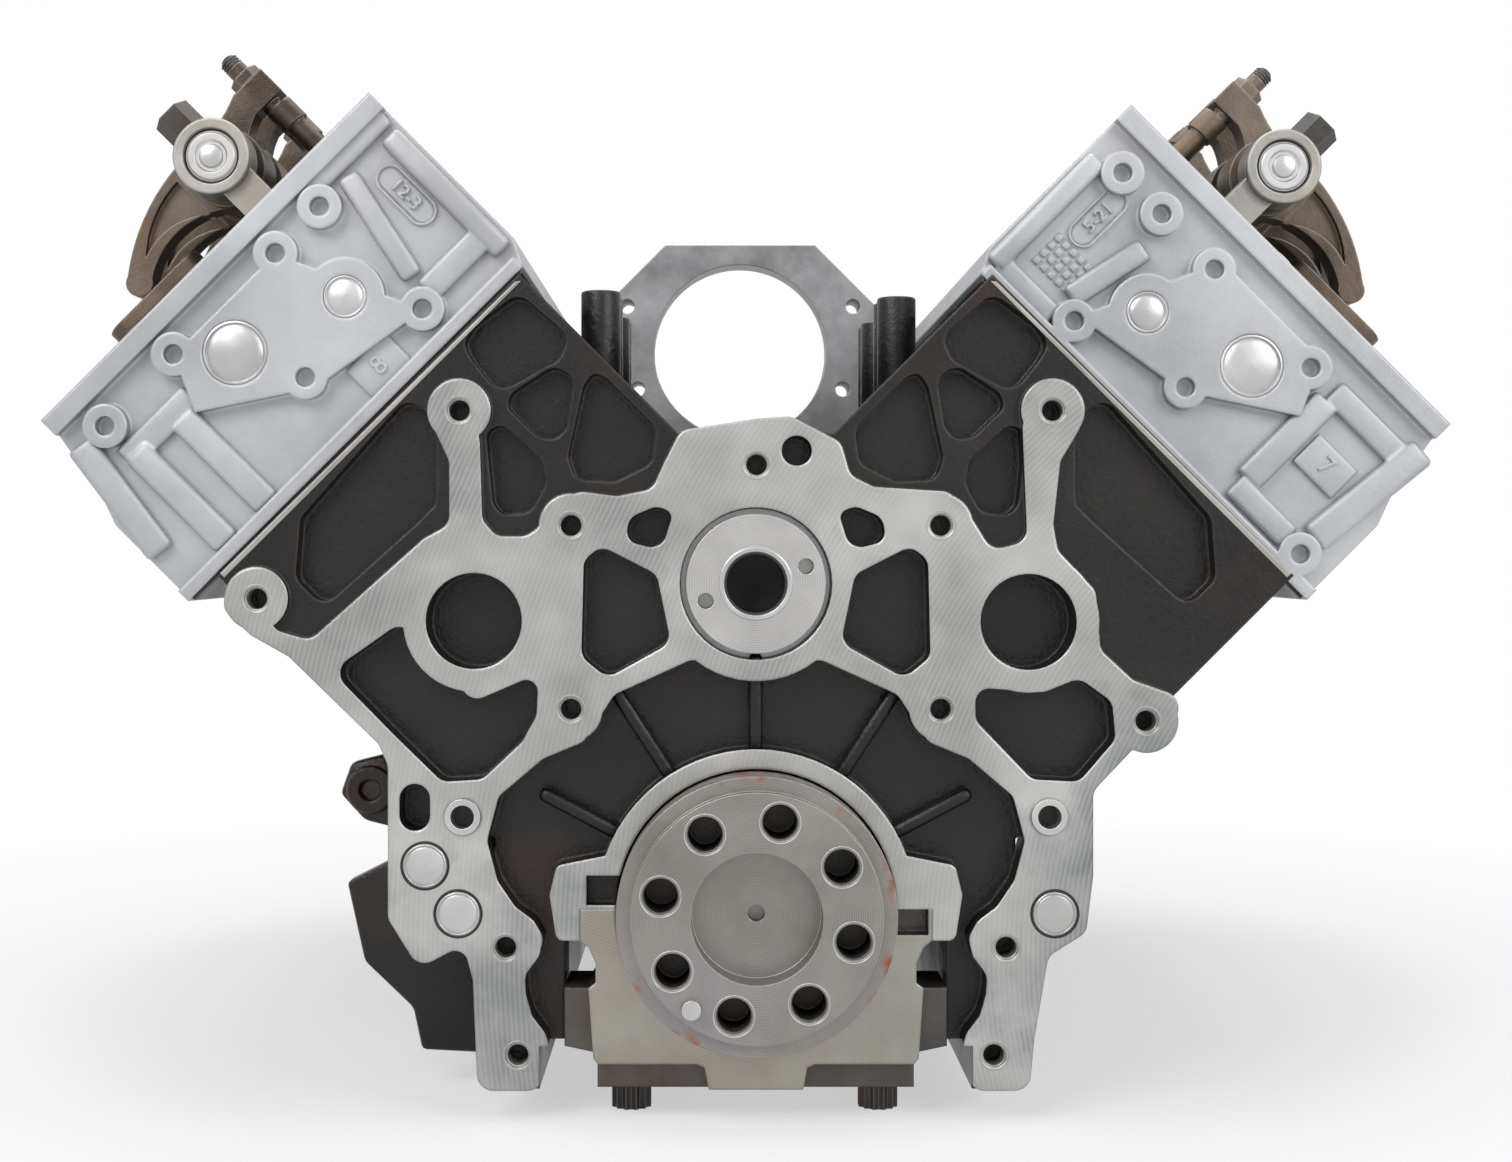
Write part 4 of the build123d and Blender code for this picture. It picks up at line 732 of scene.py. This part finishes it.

# the crank flange's holes: a bright rim in each, and a dark threaded sleeve whose near-black colour is
# painted shade inside the hole
flangeLook = dict(
    circle=0.041, count=8, first=31.6, rim=0.0088, rimEdge=(0.0003, 0.00003), bore=0.0076, skirt=0.0003,
    proud=0.00015, chamfer=0.0012, land=0.0022, lap=0.0002, crest=0.0069, root=0.0074, start=0.003,
    pitch=0.002, threads=10, deep=0.0245,
)
flangeAngles = [math.radians(flangeLook["first"] + 360 / flangeLook["count"] * k)
                for k in range(flangeLook["count"])]
flangePlaces = [rearMatrix(flangeLook["circle"] * math.cos(angle), 0, flangeLook["circle"] * math.sin(angle))
                for angle in flangeAngles]


def flangeRimProfile(look):
    rim, bore = look["rim"], look["bore"]
    slope, drop = look["rimEdge"]
    return [(rim, -look["skirt"]), (rim, look["proud"] - drop), (rim - slope, look["proud"]),
            (bore - look["lap"], -look["chamfer"]), (bore - look["lap"], -look["land"]),
            (bore - holeLook["lap"], -look["land"]), (rim, -look["skirt"])]


def flangeThreadProfile(look):
    wall = look["bore"] - look["lap"] / 2
    profile = [(pinpoint, -look["deep"]), (wall, -look["deep"]), (wall, -look["land"])]
    for k in range(look["threads"]):
        depth = look["start"] + look["pitch"] * k
        profile += [(look["crest"], -depth), (look["root"], -depth - look["pitch"] / 2)]
    floor = look["deep"] - look["pitch"] / 2
    return profile + [(look["crest"], -floor), (pinpoint, -floor)]


rim = settle(latheProfile(flangeRimProfile(flangeLook), 32, "flangeRimModel"), unturned, "flangeRimModel",
             materials["brightSteel"])
rims = repeatModel(rim, flangePlaces, "flangeHoleRims")
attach(rims, "crank")
dropModel(rim)
# painted shade: the sleeve's near-black colour darkens the inside of each hole
shadeSleeve = settle(latheProfile(flangeThreadProfile(flangeLook), 28, "flangeThreadModel"), unturned,
                "flangeThreadModel", materials["boltBlackAndHoleShade"])
threads = repeatModel(shadeSleeve, flangePlaces, "flangeThreadShade")
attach(threads, "crank")
dropModel(shadeSleeve)
print("holes threaded")

# cast bosses on the valley walls, black like the block
bossLook = dict(
    across=-0.1262, up=0.228, radius=0.0095, length=0.052, rows=(0.148, 0.172, 0.265, 0.289), wall=0.45,
    depth=0.012, edge=0.0012,
)


def bossModel(look):
    clearSelection()
    bpy.ops.mesh.primitive_cylinder_add(vertices=28, radius=look["radius"], depth=look["length"])
    boss = bpy.context.object
    bpy.ops.object.mode_set(mode="EDIT")
    mesh = bmesh.from_edit_mesh(boss.data)
    for face in mesh.faces:
        face.select = face.normal.z > 0.9
    bmesh.update_edit_mesh(boss.data)
    bpy.ops.mesh.inset(thickness=look["radius"] * look["wall"])
    bpy.ops.mesh.extrude_region_move(TRANSFORM_OT_translate={"value": (0, 0, -look["depth"])})
    bpy.ops.object.mode_set(mode="OBJECT")
    edges = boss.modifiers.new("edges", "BEVEL")
    edges.width = look["edge"]
    edges.segments = 2
    applyModifiers(boss)
    return boss


boss = settle(bossModel(bossLook), unturned, "bossModel", materials["castBlack"])
places = [Matrix.Translation(bankPoint(side, bossLook["across"], bossLook["up"],
                                       y + (bankStagger if side > 0 else 0)))
          for side in sides.values() for y in bossLook["rows"]]
bosses = repeatModel(boss, places, "valleyBosses")
dropModel(boss)
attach(bosses, "block")
print("valley bosses cast")

# inside the cam's journal: a dark cup, its near-black colour painted shade inside the bore, with a bright lip
camLook = dict(
    shadeCup=(
        (pinpoint, -0.027), (0.01245, -0.027), (0.01335, -0.025), (0.01335, -0.0006), (0.01255, -0.0006),
        (0.01255, -0.024), (pinpoint, -0.026),
    ),
    lip=(
        (0.01305, -0.0012), (0.01365, 0.0002), (0.0152, 0.0005), (0.0158, 0.0001), (0.0158, -0.0012),
        (0.01305, -0.0012),
    ),
)
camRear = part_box("camshaft")[0][1]
# painted shade: the cup's near-black colour darkens the inside of the bore
camShadeCup = latheProfile(camLook["shadeCup"], 40, "camShadeCup")
camShadeCup = settle(camShadeCup, rearMatrix(0, camRear, camHeight), "camShadeCup", materials["sealRubberAndHoleShade"])
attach(camShadeCup, "cam")
camLip = latheProfile(camLook["lip"], 48, "camLip")
camLip = settle(camLip, rearMatrix(0, camRear, camHeight), "camLip", materials["brightSteel"])
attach(camLip, "cam")

# core plugs: a bright dished disc inside a dark ring of sealer
plugLook = dict(
    disc=(
        (pinpoint, 0.0010), (0.0052, 0.0009), (0.0078, 0.0003), (0.0082, -0.0002), (0.0087, 0.0006),
        (0.0092, 0.0002), (0.0093, -0.0006), (pinpoint, -0.0006),
    ),
    sealer=((0.0094, -0.0004), (0.0094, 0.00025), (0.0104, 0.00025), (0.0107, -0.0004), (0.0094, -0.0004)),
    places=((-0.1403, 0.0184), (-0.1263, -0.0019), (0.1267, -0.0019)),
)
places = [rearMatrix(x, blockRear, z) for x, z in plugLook["places"]]
disc = latheProfile(plugLook["disc"], 40, "plugModel")
disc = settle(disc, unturned, "plugModel", materials["brightSteel"])
discs = repeatModel(disc, places, "rearPlugDiscs")
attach(discs, "block")
dropModel(disc)
sealer = latheProfile(plugLook["sealer"], 40, "sealerModel")
sealer = settle(sealer, unturned, "sealerModel", materials["castBlack"])
rings = repeatModel(sealer, places, "rearPlugSealer")
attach(rings, "block")
dropModel(sealer)

# ribs that fan out above the seal arch
ribLook = dict(
    inner=0.066, outer=(0.104, 0.112, 0.108, 0.112, 0.104), angles=(28, 57, 90, 123, 152), thick=0.006,
    floor=0.0402, crest=0.031, edge=0.0024, segments=3,
)
ribs = []
for angle, outer in zip(ribLook["angles"], ribLook["outer"]):
    long, thick = outer - ribLook["inner"], ribLook["thick"]
    rib = slabFrom([(0, -thick / 2), (long, -thick / 2), (long, thick / 2), (0, thick / 2)],
                   ribLook["floor"] - ribLook["crest"], ribLook["edge"], "rib", ribLook["segments"])
    out = Matrix.Translation((ribLook["inner"], 0, 0))
    matrix = rearMatrix(0, ribLook["floor"], 0, math.radians(angle)) @ out
    ribs.append(settle(rib, matrix, "rib", materials["castBlack"]))
ribs = joinPieces(ribs, "archRibs")
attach(ribs, "block")

# bright strips along the cast wall's edge just below the deck: a painted highlight where that edge catches
# the light
deckHighlightLook = dict(
    start=-0.118, end=0.0605, up=0.2606, wide=0.0026, taper=(0.002, 0.6), thick=0.0005, wall=0.0041,
)
highlightStrips = []
for bank, side in sides.items():
    lead, narrow = deckHighlightLook["taper"]
    outline = [(deckHighlightLook["start"], 0), (deckHighlightLook["end"], 0), (deckHighlightLook["end"], deckHighlightLook["wide"]),
               (deckHighlightLook["start"] + lead, deckHighlightLook["wide"] * narrow)]
    highlightStrip = slabFrom([(side * x, y) for x, y in outline], deckHighlightLook["thick"], 0, "highlightStrip")
    centre = bankPoint(side, 0, deckHighlightLook["up"] - deckHighlightLook["wide"] / 2, blockRear + deckHighlightLook["wall"])
    matrix = rearMatrix(centre.x, centre.y, centre.z, math.radians(-bankAngle * side))
    # painted highlight: each strip is a light grey sliver on the black wall
    highlightStrips.append(settle(highlightStrip, matrix, "highlightStrip", materials["standIronAndHighlight"]))
highlightStrips = joinPieces(highlightStrips, "deckEdgeHighlights")
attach(highlightStrips, "block")
print("block detailed")


# head ends: ribs, a numbered frame and a small pad, on the cast face round the machined pad
def headPlane(side, t, n, turn=0.0, back=0.006):  # x outboard across the bank, y up the bank, z to the rear
    bank = "left" if side < 0 else "right"
    centre = bankPoint(side, t, headDeck + n, headRear[bank] + back)
    return rearMatrix(centre.x, centre.y, centre.z, math.radians(-bankAngle * side) + turn)


def roundedBar(size, name, material, matrix, bevel=None):  # size: length, width and height
    long, wide, tall = size
    outline = [(-long / 2, -wide / 2), (long / 2, -wide / 2), (long / 2, wide / 2), (-long / 2, wide / 2)]
    bar = slabFrom(outline, tall, bevel or min(wide, tall * 2) * 0.42, name, 4)
    return settle(bar, matrix, name, material, 50)


headBars = {  # t, n, size and turn in degrees
    "left": ((0.026, 0.032, (0.052, 0.013, 0.0045), 90), (0.050, 0.034, (0.056, 0.013, 0.0055), 90),
             (0.036, 0.062, (0.040, 0.012, 0.004), 0), (0.069, 0.052, (0.058, 0.013, 0.005), 82),
             (-0.092, 0.056, (0.052, 0.010, 0.005), 78), (-0.104, 0.089, (0.046, 0.011, 0.004), 0),
             (-0.122, 0.046, (0.070, 0.010, 0.0055), 90), (-0.104, 0.022, (0.036, 0.012, 0.004), 0)),
    "right": ((0.024, 0.044, (0.050, 0.013, 0.0045), 90), (0.066, 0.052, (0.062, 0.014, 0.0055), 84),
              (0.044, 0.074, (0.042, 0.012, 0.004), 0), (0.038, 0.014, (0.034, 0.012, 0.004), 0),
              (-0.122, 0.040, (0.066, 0.010, 0.0055), 90), (-0.084, 0.040, (0.040, 0.011, 0.0045), 78),
              (-0.104, 0.010, (0.034, 0.010, 0.004), 0)),
}
for bank, side in sides.items():
    bars = []
    for t, n, size, turn in headBars[bank]:
        matrix = headPlane(side, t, n, math.radians(turn))
        bars.append(roundedBar(size, "headBar", materials["headCast"], matrix))
    bars = joinPieces(bars, f"headRibs_{bank}")
    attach(bars, "block")


def castNumber(text, size, tall, matrix, name, material):  # plain numerals standing proud of the casting
    clearSelection()
    bpy.ops.object.text_add(location=(0, 0, 0))
    number = bpy.context.object
    number.data.body = text
    number.data.size = size
    number.data.extrude = tall
    number.data.bevel_depth = tall * 0.25
    number.data.align_x = "CENTER"
    number.data.align_y = "CENTER"
    bpy.ops.object.convert(target="MESH")
    return settle(bpy.context.object, matrix, name, material, 30)


def numberFrame(look, matrix, name, material):  # a thin raised border with round ends
    long, wide = look["frame"]
    clearSelection()
    bpy.ops.mesh.primitive_cylinder_add(vertices=32, radius=wide / 2, depth=look["frameTall"],
                                        location=(0, 0, look["frameTall"] / 2))
    border = bpy.context.object
    bpy.ops.object.transform_apply(location=True, rotation=True, scale=True)
    bpy.ops.object.mode_set(mode="EDIT")
    mesh = bmesh.from_edit_mesh(border.data)
    for vertex in mesh.verts:
        vertex.co.x += math.copysign((long - wide) / 2, vertex.co.x) if abs(vertex.co.x) > 1e-6 else 0
    for face in mesh.faces:
        face.select = face.normal.z > 0.9
    mesh.select_mode = {"FACE"}
    bmesh.update_edit_mesh(border.data)
    bpy.ops.mesh.inset(thickness=look["frameEdge"])
    bpy.ops.transform.translate(value=(0, 0, -look["frameEdge"]))
    bpy.ops.object.mode_set(mode="OBJECT")
    return settle(border, matrix, name, material, 30)


figureLook = dict(
    frame=(0.032, 0.013), frameTall=0.0016, frameEdge=0.0013, size=0.0085, tall=0.0007, lift=0.001,
    pad=(0.024, 0.017, 0.0024), padEdge=0.001, padSize=0.012, padTall=0.0006, padLift=0.0026,
)
numberLook = {
    "left": dict(text="12-3", place=(-0.1095, 0.058), turn=-90, pad=(-0.0495, 0.014), padText="8"),
    "right": dict(text="5-21", place=(-0.104, 0.055), turn=90, pad=(0.044, 0.048), padText="7"),
}
for bank, side in sides.items():
    look = numberLook[bank]
    matrix = headPlane(side, *look["place"], math.radians(look["turn"]))
    border = numberFrame(figureLook, matrix, f"numberFrame_{bank}", materials["headCast"])
    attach(border, "block")
    matrix = matrix @ Matrix.Translation((0, 0, figureLook["lift"]))
    number = castNumber(look["text"], figureLook["size"], figureLook["tall"], matrix, f"number_{bank}",
                        materials["headCast"])
    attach(number, "block")
    matrix = headPlane(side, *look["pad"])
    pad = roundedBar(figureLook["pad"], f"numberPad_{bank}", materials["headCast"], matrix,
                     figureLook["padEdge"])
    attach(pad, "block")
    matrix = matrix @ Matrix.Translation((0, 0, figureLook["padLift"]))
    mark = castNumber(look["padText"], figureLook["padSize"], figureLook["padTall"], matrix,
                      f"padNumber_{bank}", materials["headCast"])
    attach(mark, "block")

# a patch of small cast squares on the right head
waffleLook = dict(
    place=(-0.098, 0.030), square=0.0036, gap=0.0046, columns=6, rows=4, tall=0.0009, edge=0.0003,
)
squareOutline = [(0, 0), (waffleLook["square"], 0), (waffleLook["square"], waffleLook["square"]),
                 (0, waffleLook["square"])]
squareModel = slabFrom(squareOutline, waffleLook["tall"], waffleLook["edge"], "squareModel", 1)
patch = headPlane(1, *waffleLook["place"])
places = [patch @ Matrix.Translation(((column - waffleLook["columns"] / 2) * waffleLook["gap"],
                                      (row - waffleLook["rows"] / 2) * waffleLook["gap"], 0))
          for column in range(waffleLook["columns"]) for row in range(waffleLook["rows"])]
squares = repeatModel(squareModel, places, "castWaffle")
dropModel(squareModel)
squares.data.materials.append(materials["headCast"])
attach(squares, "block")

# dished discs in the heads' plug seats: t, n and radius, and a dish of (share of the radius, height)
discLook = dict(
    left=((-0.0101, 0.0609, 0.0139), (-0.0602, 0.0447, 0.0092)),
    right=((-0.0107, 0.0554, 0.0139), (-0.0597, 0.0397, 0.0092)),
    dish=((0.62, 0.001), (0.84, 0.0001), (0.88, -0.0003), (0.92, 0.0007), (0.985, 0.0004)),
    crown=0.0012, foot=-0.0006, back=0.0006,
)
for bank, side in sides.items():
    discs = []
    for t, n, radius in discLook[bank]:
        dish = [(radius * share, height) for share, height in discLook["dish"]]
        foot = [(radius, discLook["foot"]), (pinpoint, discLook["foot"])]
        disc = latheProfile([(pinpoint, discLook["crown"])] + dish + foot, 48, "headDisc")
        matrix = headPlane(side, t, n, 0.0, discLook["back"])
        discs.append(settle(disc, matrix, "headDisc", materials["brightSteel"]))
    discs = joinPieces(discs, f"headPlugDiscs_{bank}")
    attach(discs, "block")
print("head ends detailed")

# side bracket: a black cast plate low on the left, with an eye
bracketLook = dict(
    y=0.088, thick=0.012, edge=0.002, eyeX=-0.173, eyeZ=0.044,
    outline=(
        (-0.110, 0.024), (-0.150, 0.052), (-0.166, 0.060), (-0.182, 0.056), (-0.187, 0.042), (-0.176, 0.030),
        (-0.160, 0.026), (-0.160, 0.014), (-0.184, 0.002), (-0.176, -0.034), (-0.154, -0.055),
        (-0.150, -0.074), (-0.110, -0.076), (-0.094, -0.050),
    ),
    eye=(
        (0.0045, -0.0165), (0.0105, -0.0165), (0.011, -0.0155), (0.011, 0.0015), (0.0102, 0.0025),
        (0.0055, 0.0025), (0.0045, 0.0015), (0.0045, -0.0165),
    ),
)
bracket = slabFrom(bracketLook["outline"], bracketLook["thick"], bracketLook["edge"], "sideBracket")
bracket = settle(bracket, rearMatrix(0, bracketLook["y"] + bracketLook["thick"], 0), "sideBracket",
                 materials["castBlack"])
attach(bracket, "block")
eye = latheProfile(bracketLook["eye"], 28, "bracketEye")
eye = settle(eye, rearMatrix(bracketLook["eyeX"], bracketLook["y"], bracketLook["eyeZ"]), "bracketEye",
             materials["castBlack"])
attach(eye, "block")
print("bracket cast")

# floor, light and camera
stageLook = dict(
    size=9.0, middle=0.3, colour=(0.9, 0.9, 0.9), rough=0.8, gloss=0.2, near=0.35, far=0.85, lift=0.55,
    worldLight=0.3,
)
cameraLook = dict(place=(-0.0183, -0.889, 0.151), lens=51.4, sensor=36.0, shiftX=0.0286, shiftY=-0.0185)
clearSelection()
bpy.ops.mesh.primitive_plane_add(size=stageLook["size"], location=(0, stageLook["middle"], floorHeight))
floor = bpy.context.object
floor.name = "floor"


def seenDirectly(tree):
    path = addNode(tree, "ShaderNodeLightPath")
    seen = mathNode(tree, "MAXIMUM", path.outputs["Is Camera Ray"], path.outputs["Is Transmission Ray"])
    return mathNode(tree, "MAXIMUM", seen, path.outputs["Is Glossy Ray"])


def paleFloor(look):  # keeps the object's shadow close by and fades to plain white beyond it
    material = bpy.data.materials.new("paleFloor")
    material.use_nodes = True
    tree = material.node_tree
    shader = tree.nodes["Principled BSDF"]
    shader.inputs["Base Color"].default_value = (*look["colour"], 1)
    shader.inputs["Roughness"].default_value = look["rough"]
    shader.inputs["Specular IOR Level"].default_value = look["gloss"]
    place = addNode(tree, "ShaderNodeTexCoord")
    reach = addNode(tree, "ShaderNodeVectorMath", operation="LENGTH")
    tree.links.new(place.outputs["Object"], reach.inputs[0])
    away = rampNode(tree, reach.outputs["Value"], look["near"], look["far"], look["lift"], 1.0)
    white = addNode(tree, "ShaderNodeEmission", {"Color": (1, 1, 1, 1), "Strength": 1.0})
    blend = addNode(tree, "ShaderNodeMixShader")
    tree.links.new(mathNode(tree, "MULTIPLY", away, seenDirectly(tree)), blend.inputs[0])
    tree.links.new(shader.outputs[0], blend.inputs[1])
    tree.links.new(white.outputs[0], blend.inputs[2])
    tree.links.new(blend.outputs[0], tree.nodes["Material Output"].inputs["Surface"])
    return material


floor.data.materials.append(paleFloor(stageLook))
world = bpy.data.worlds.new("studio")
scene.world = world
world.use_nodes = True
tree = world.node_tree
background = tree.nodes["Background"]
background.inputs["Color"].default_value = (1, 1, 1, 1)
strength = rampNode(tree, seenDirectly(tree), 0.0, 1.0, stageLook["worldLight"], 1.0)
tree.links.new(strength, background.inputs["Strength"])

lamps = {
    "keySoft": dict(place=(-1.1, -1.3, 1.5), aim=(0, 0.05, 0.15), power=24.0, size=1.2),
    "fillSoft": dict(place=(1.3, -1.1, 1.0), aim=(0, 0.05, 0.15), power=15.0, size=1.2),
    "topSoft": dict(place=(0.0, 0.5, 2.0), aim=(0, 0.25, 0.2), power=22.0, size=1.6),
}
for name, settings in lamps.items():
    light = bpy.data.lights.new(name, "AREA")
    light.energy = settings["power"]
    light.size = settings["size"]
    lamp = bpy.data.objects.new(name, light)
    scene.collection.objects.link(lamp)
    lamp.location = settings["place"]
    aim = Vector(settings["aim"]) - Vector(settings["place"])
    lamp.rotation_euler = aim.to_track_quat("-Z", "Y").to_euler()

cameraData = bpy.data.cameras.new("photoView")
cameraData.lens = cameraLook["lens"]
cameraData.sensor_width = cameraLook["sensor"]
cameraData.shift_x = cameraLook["shiftX"]
cameraData.shift_y = cameraLook["shiftY"]
camera = bpy.data.objects.new("photoView", cameraData)
scene.collection.objects.link(camera)
camera.location = cameraLook["place"]
camera.rotation_euler = (math.radians(90), 0, 0)
scene.camera = camera
scene.view_settings.view_transform = "Standard"
print("stage, lamps and camera set")
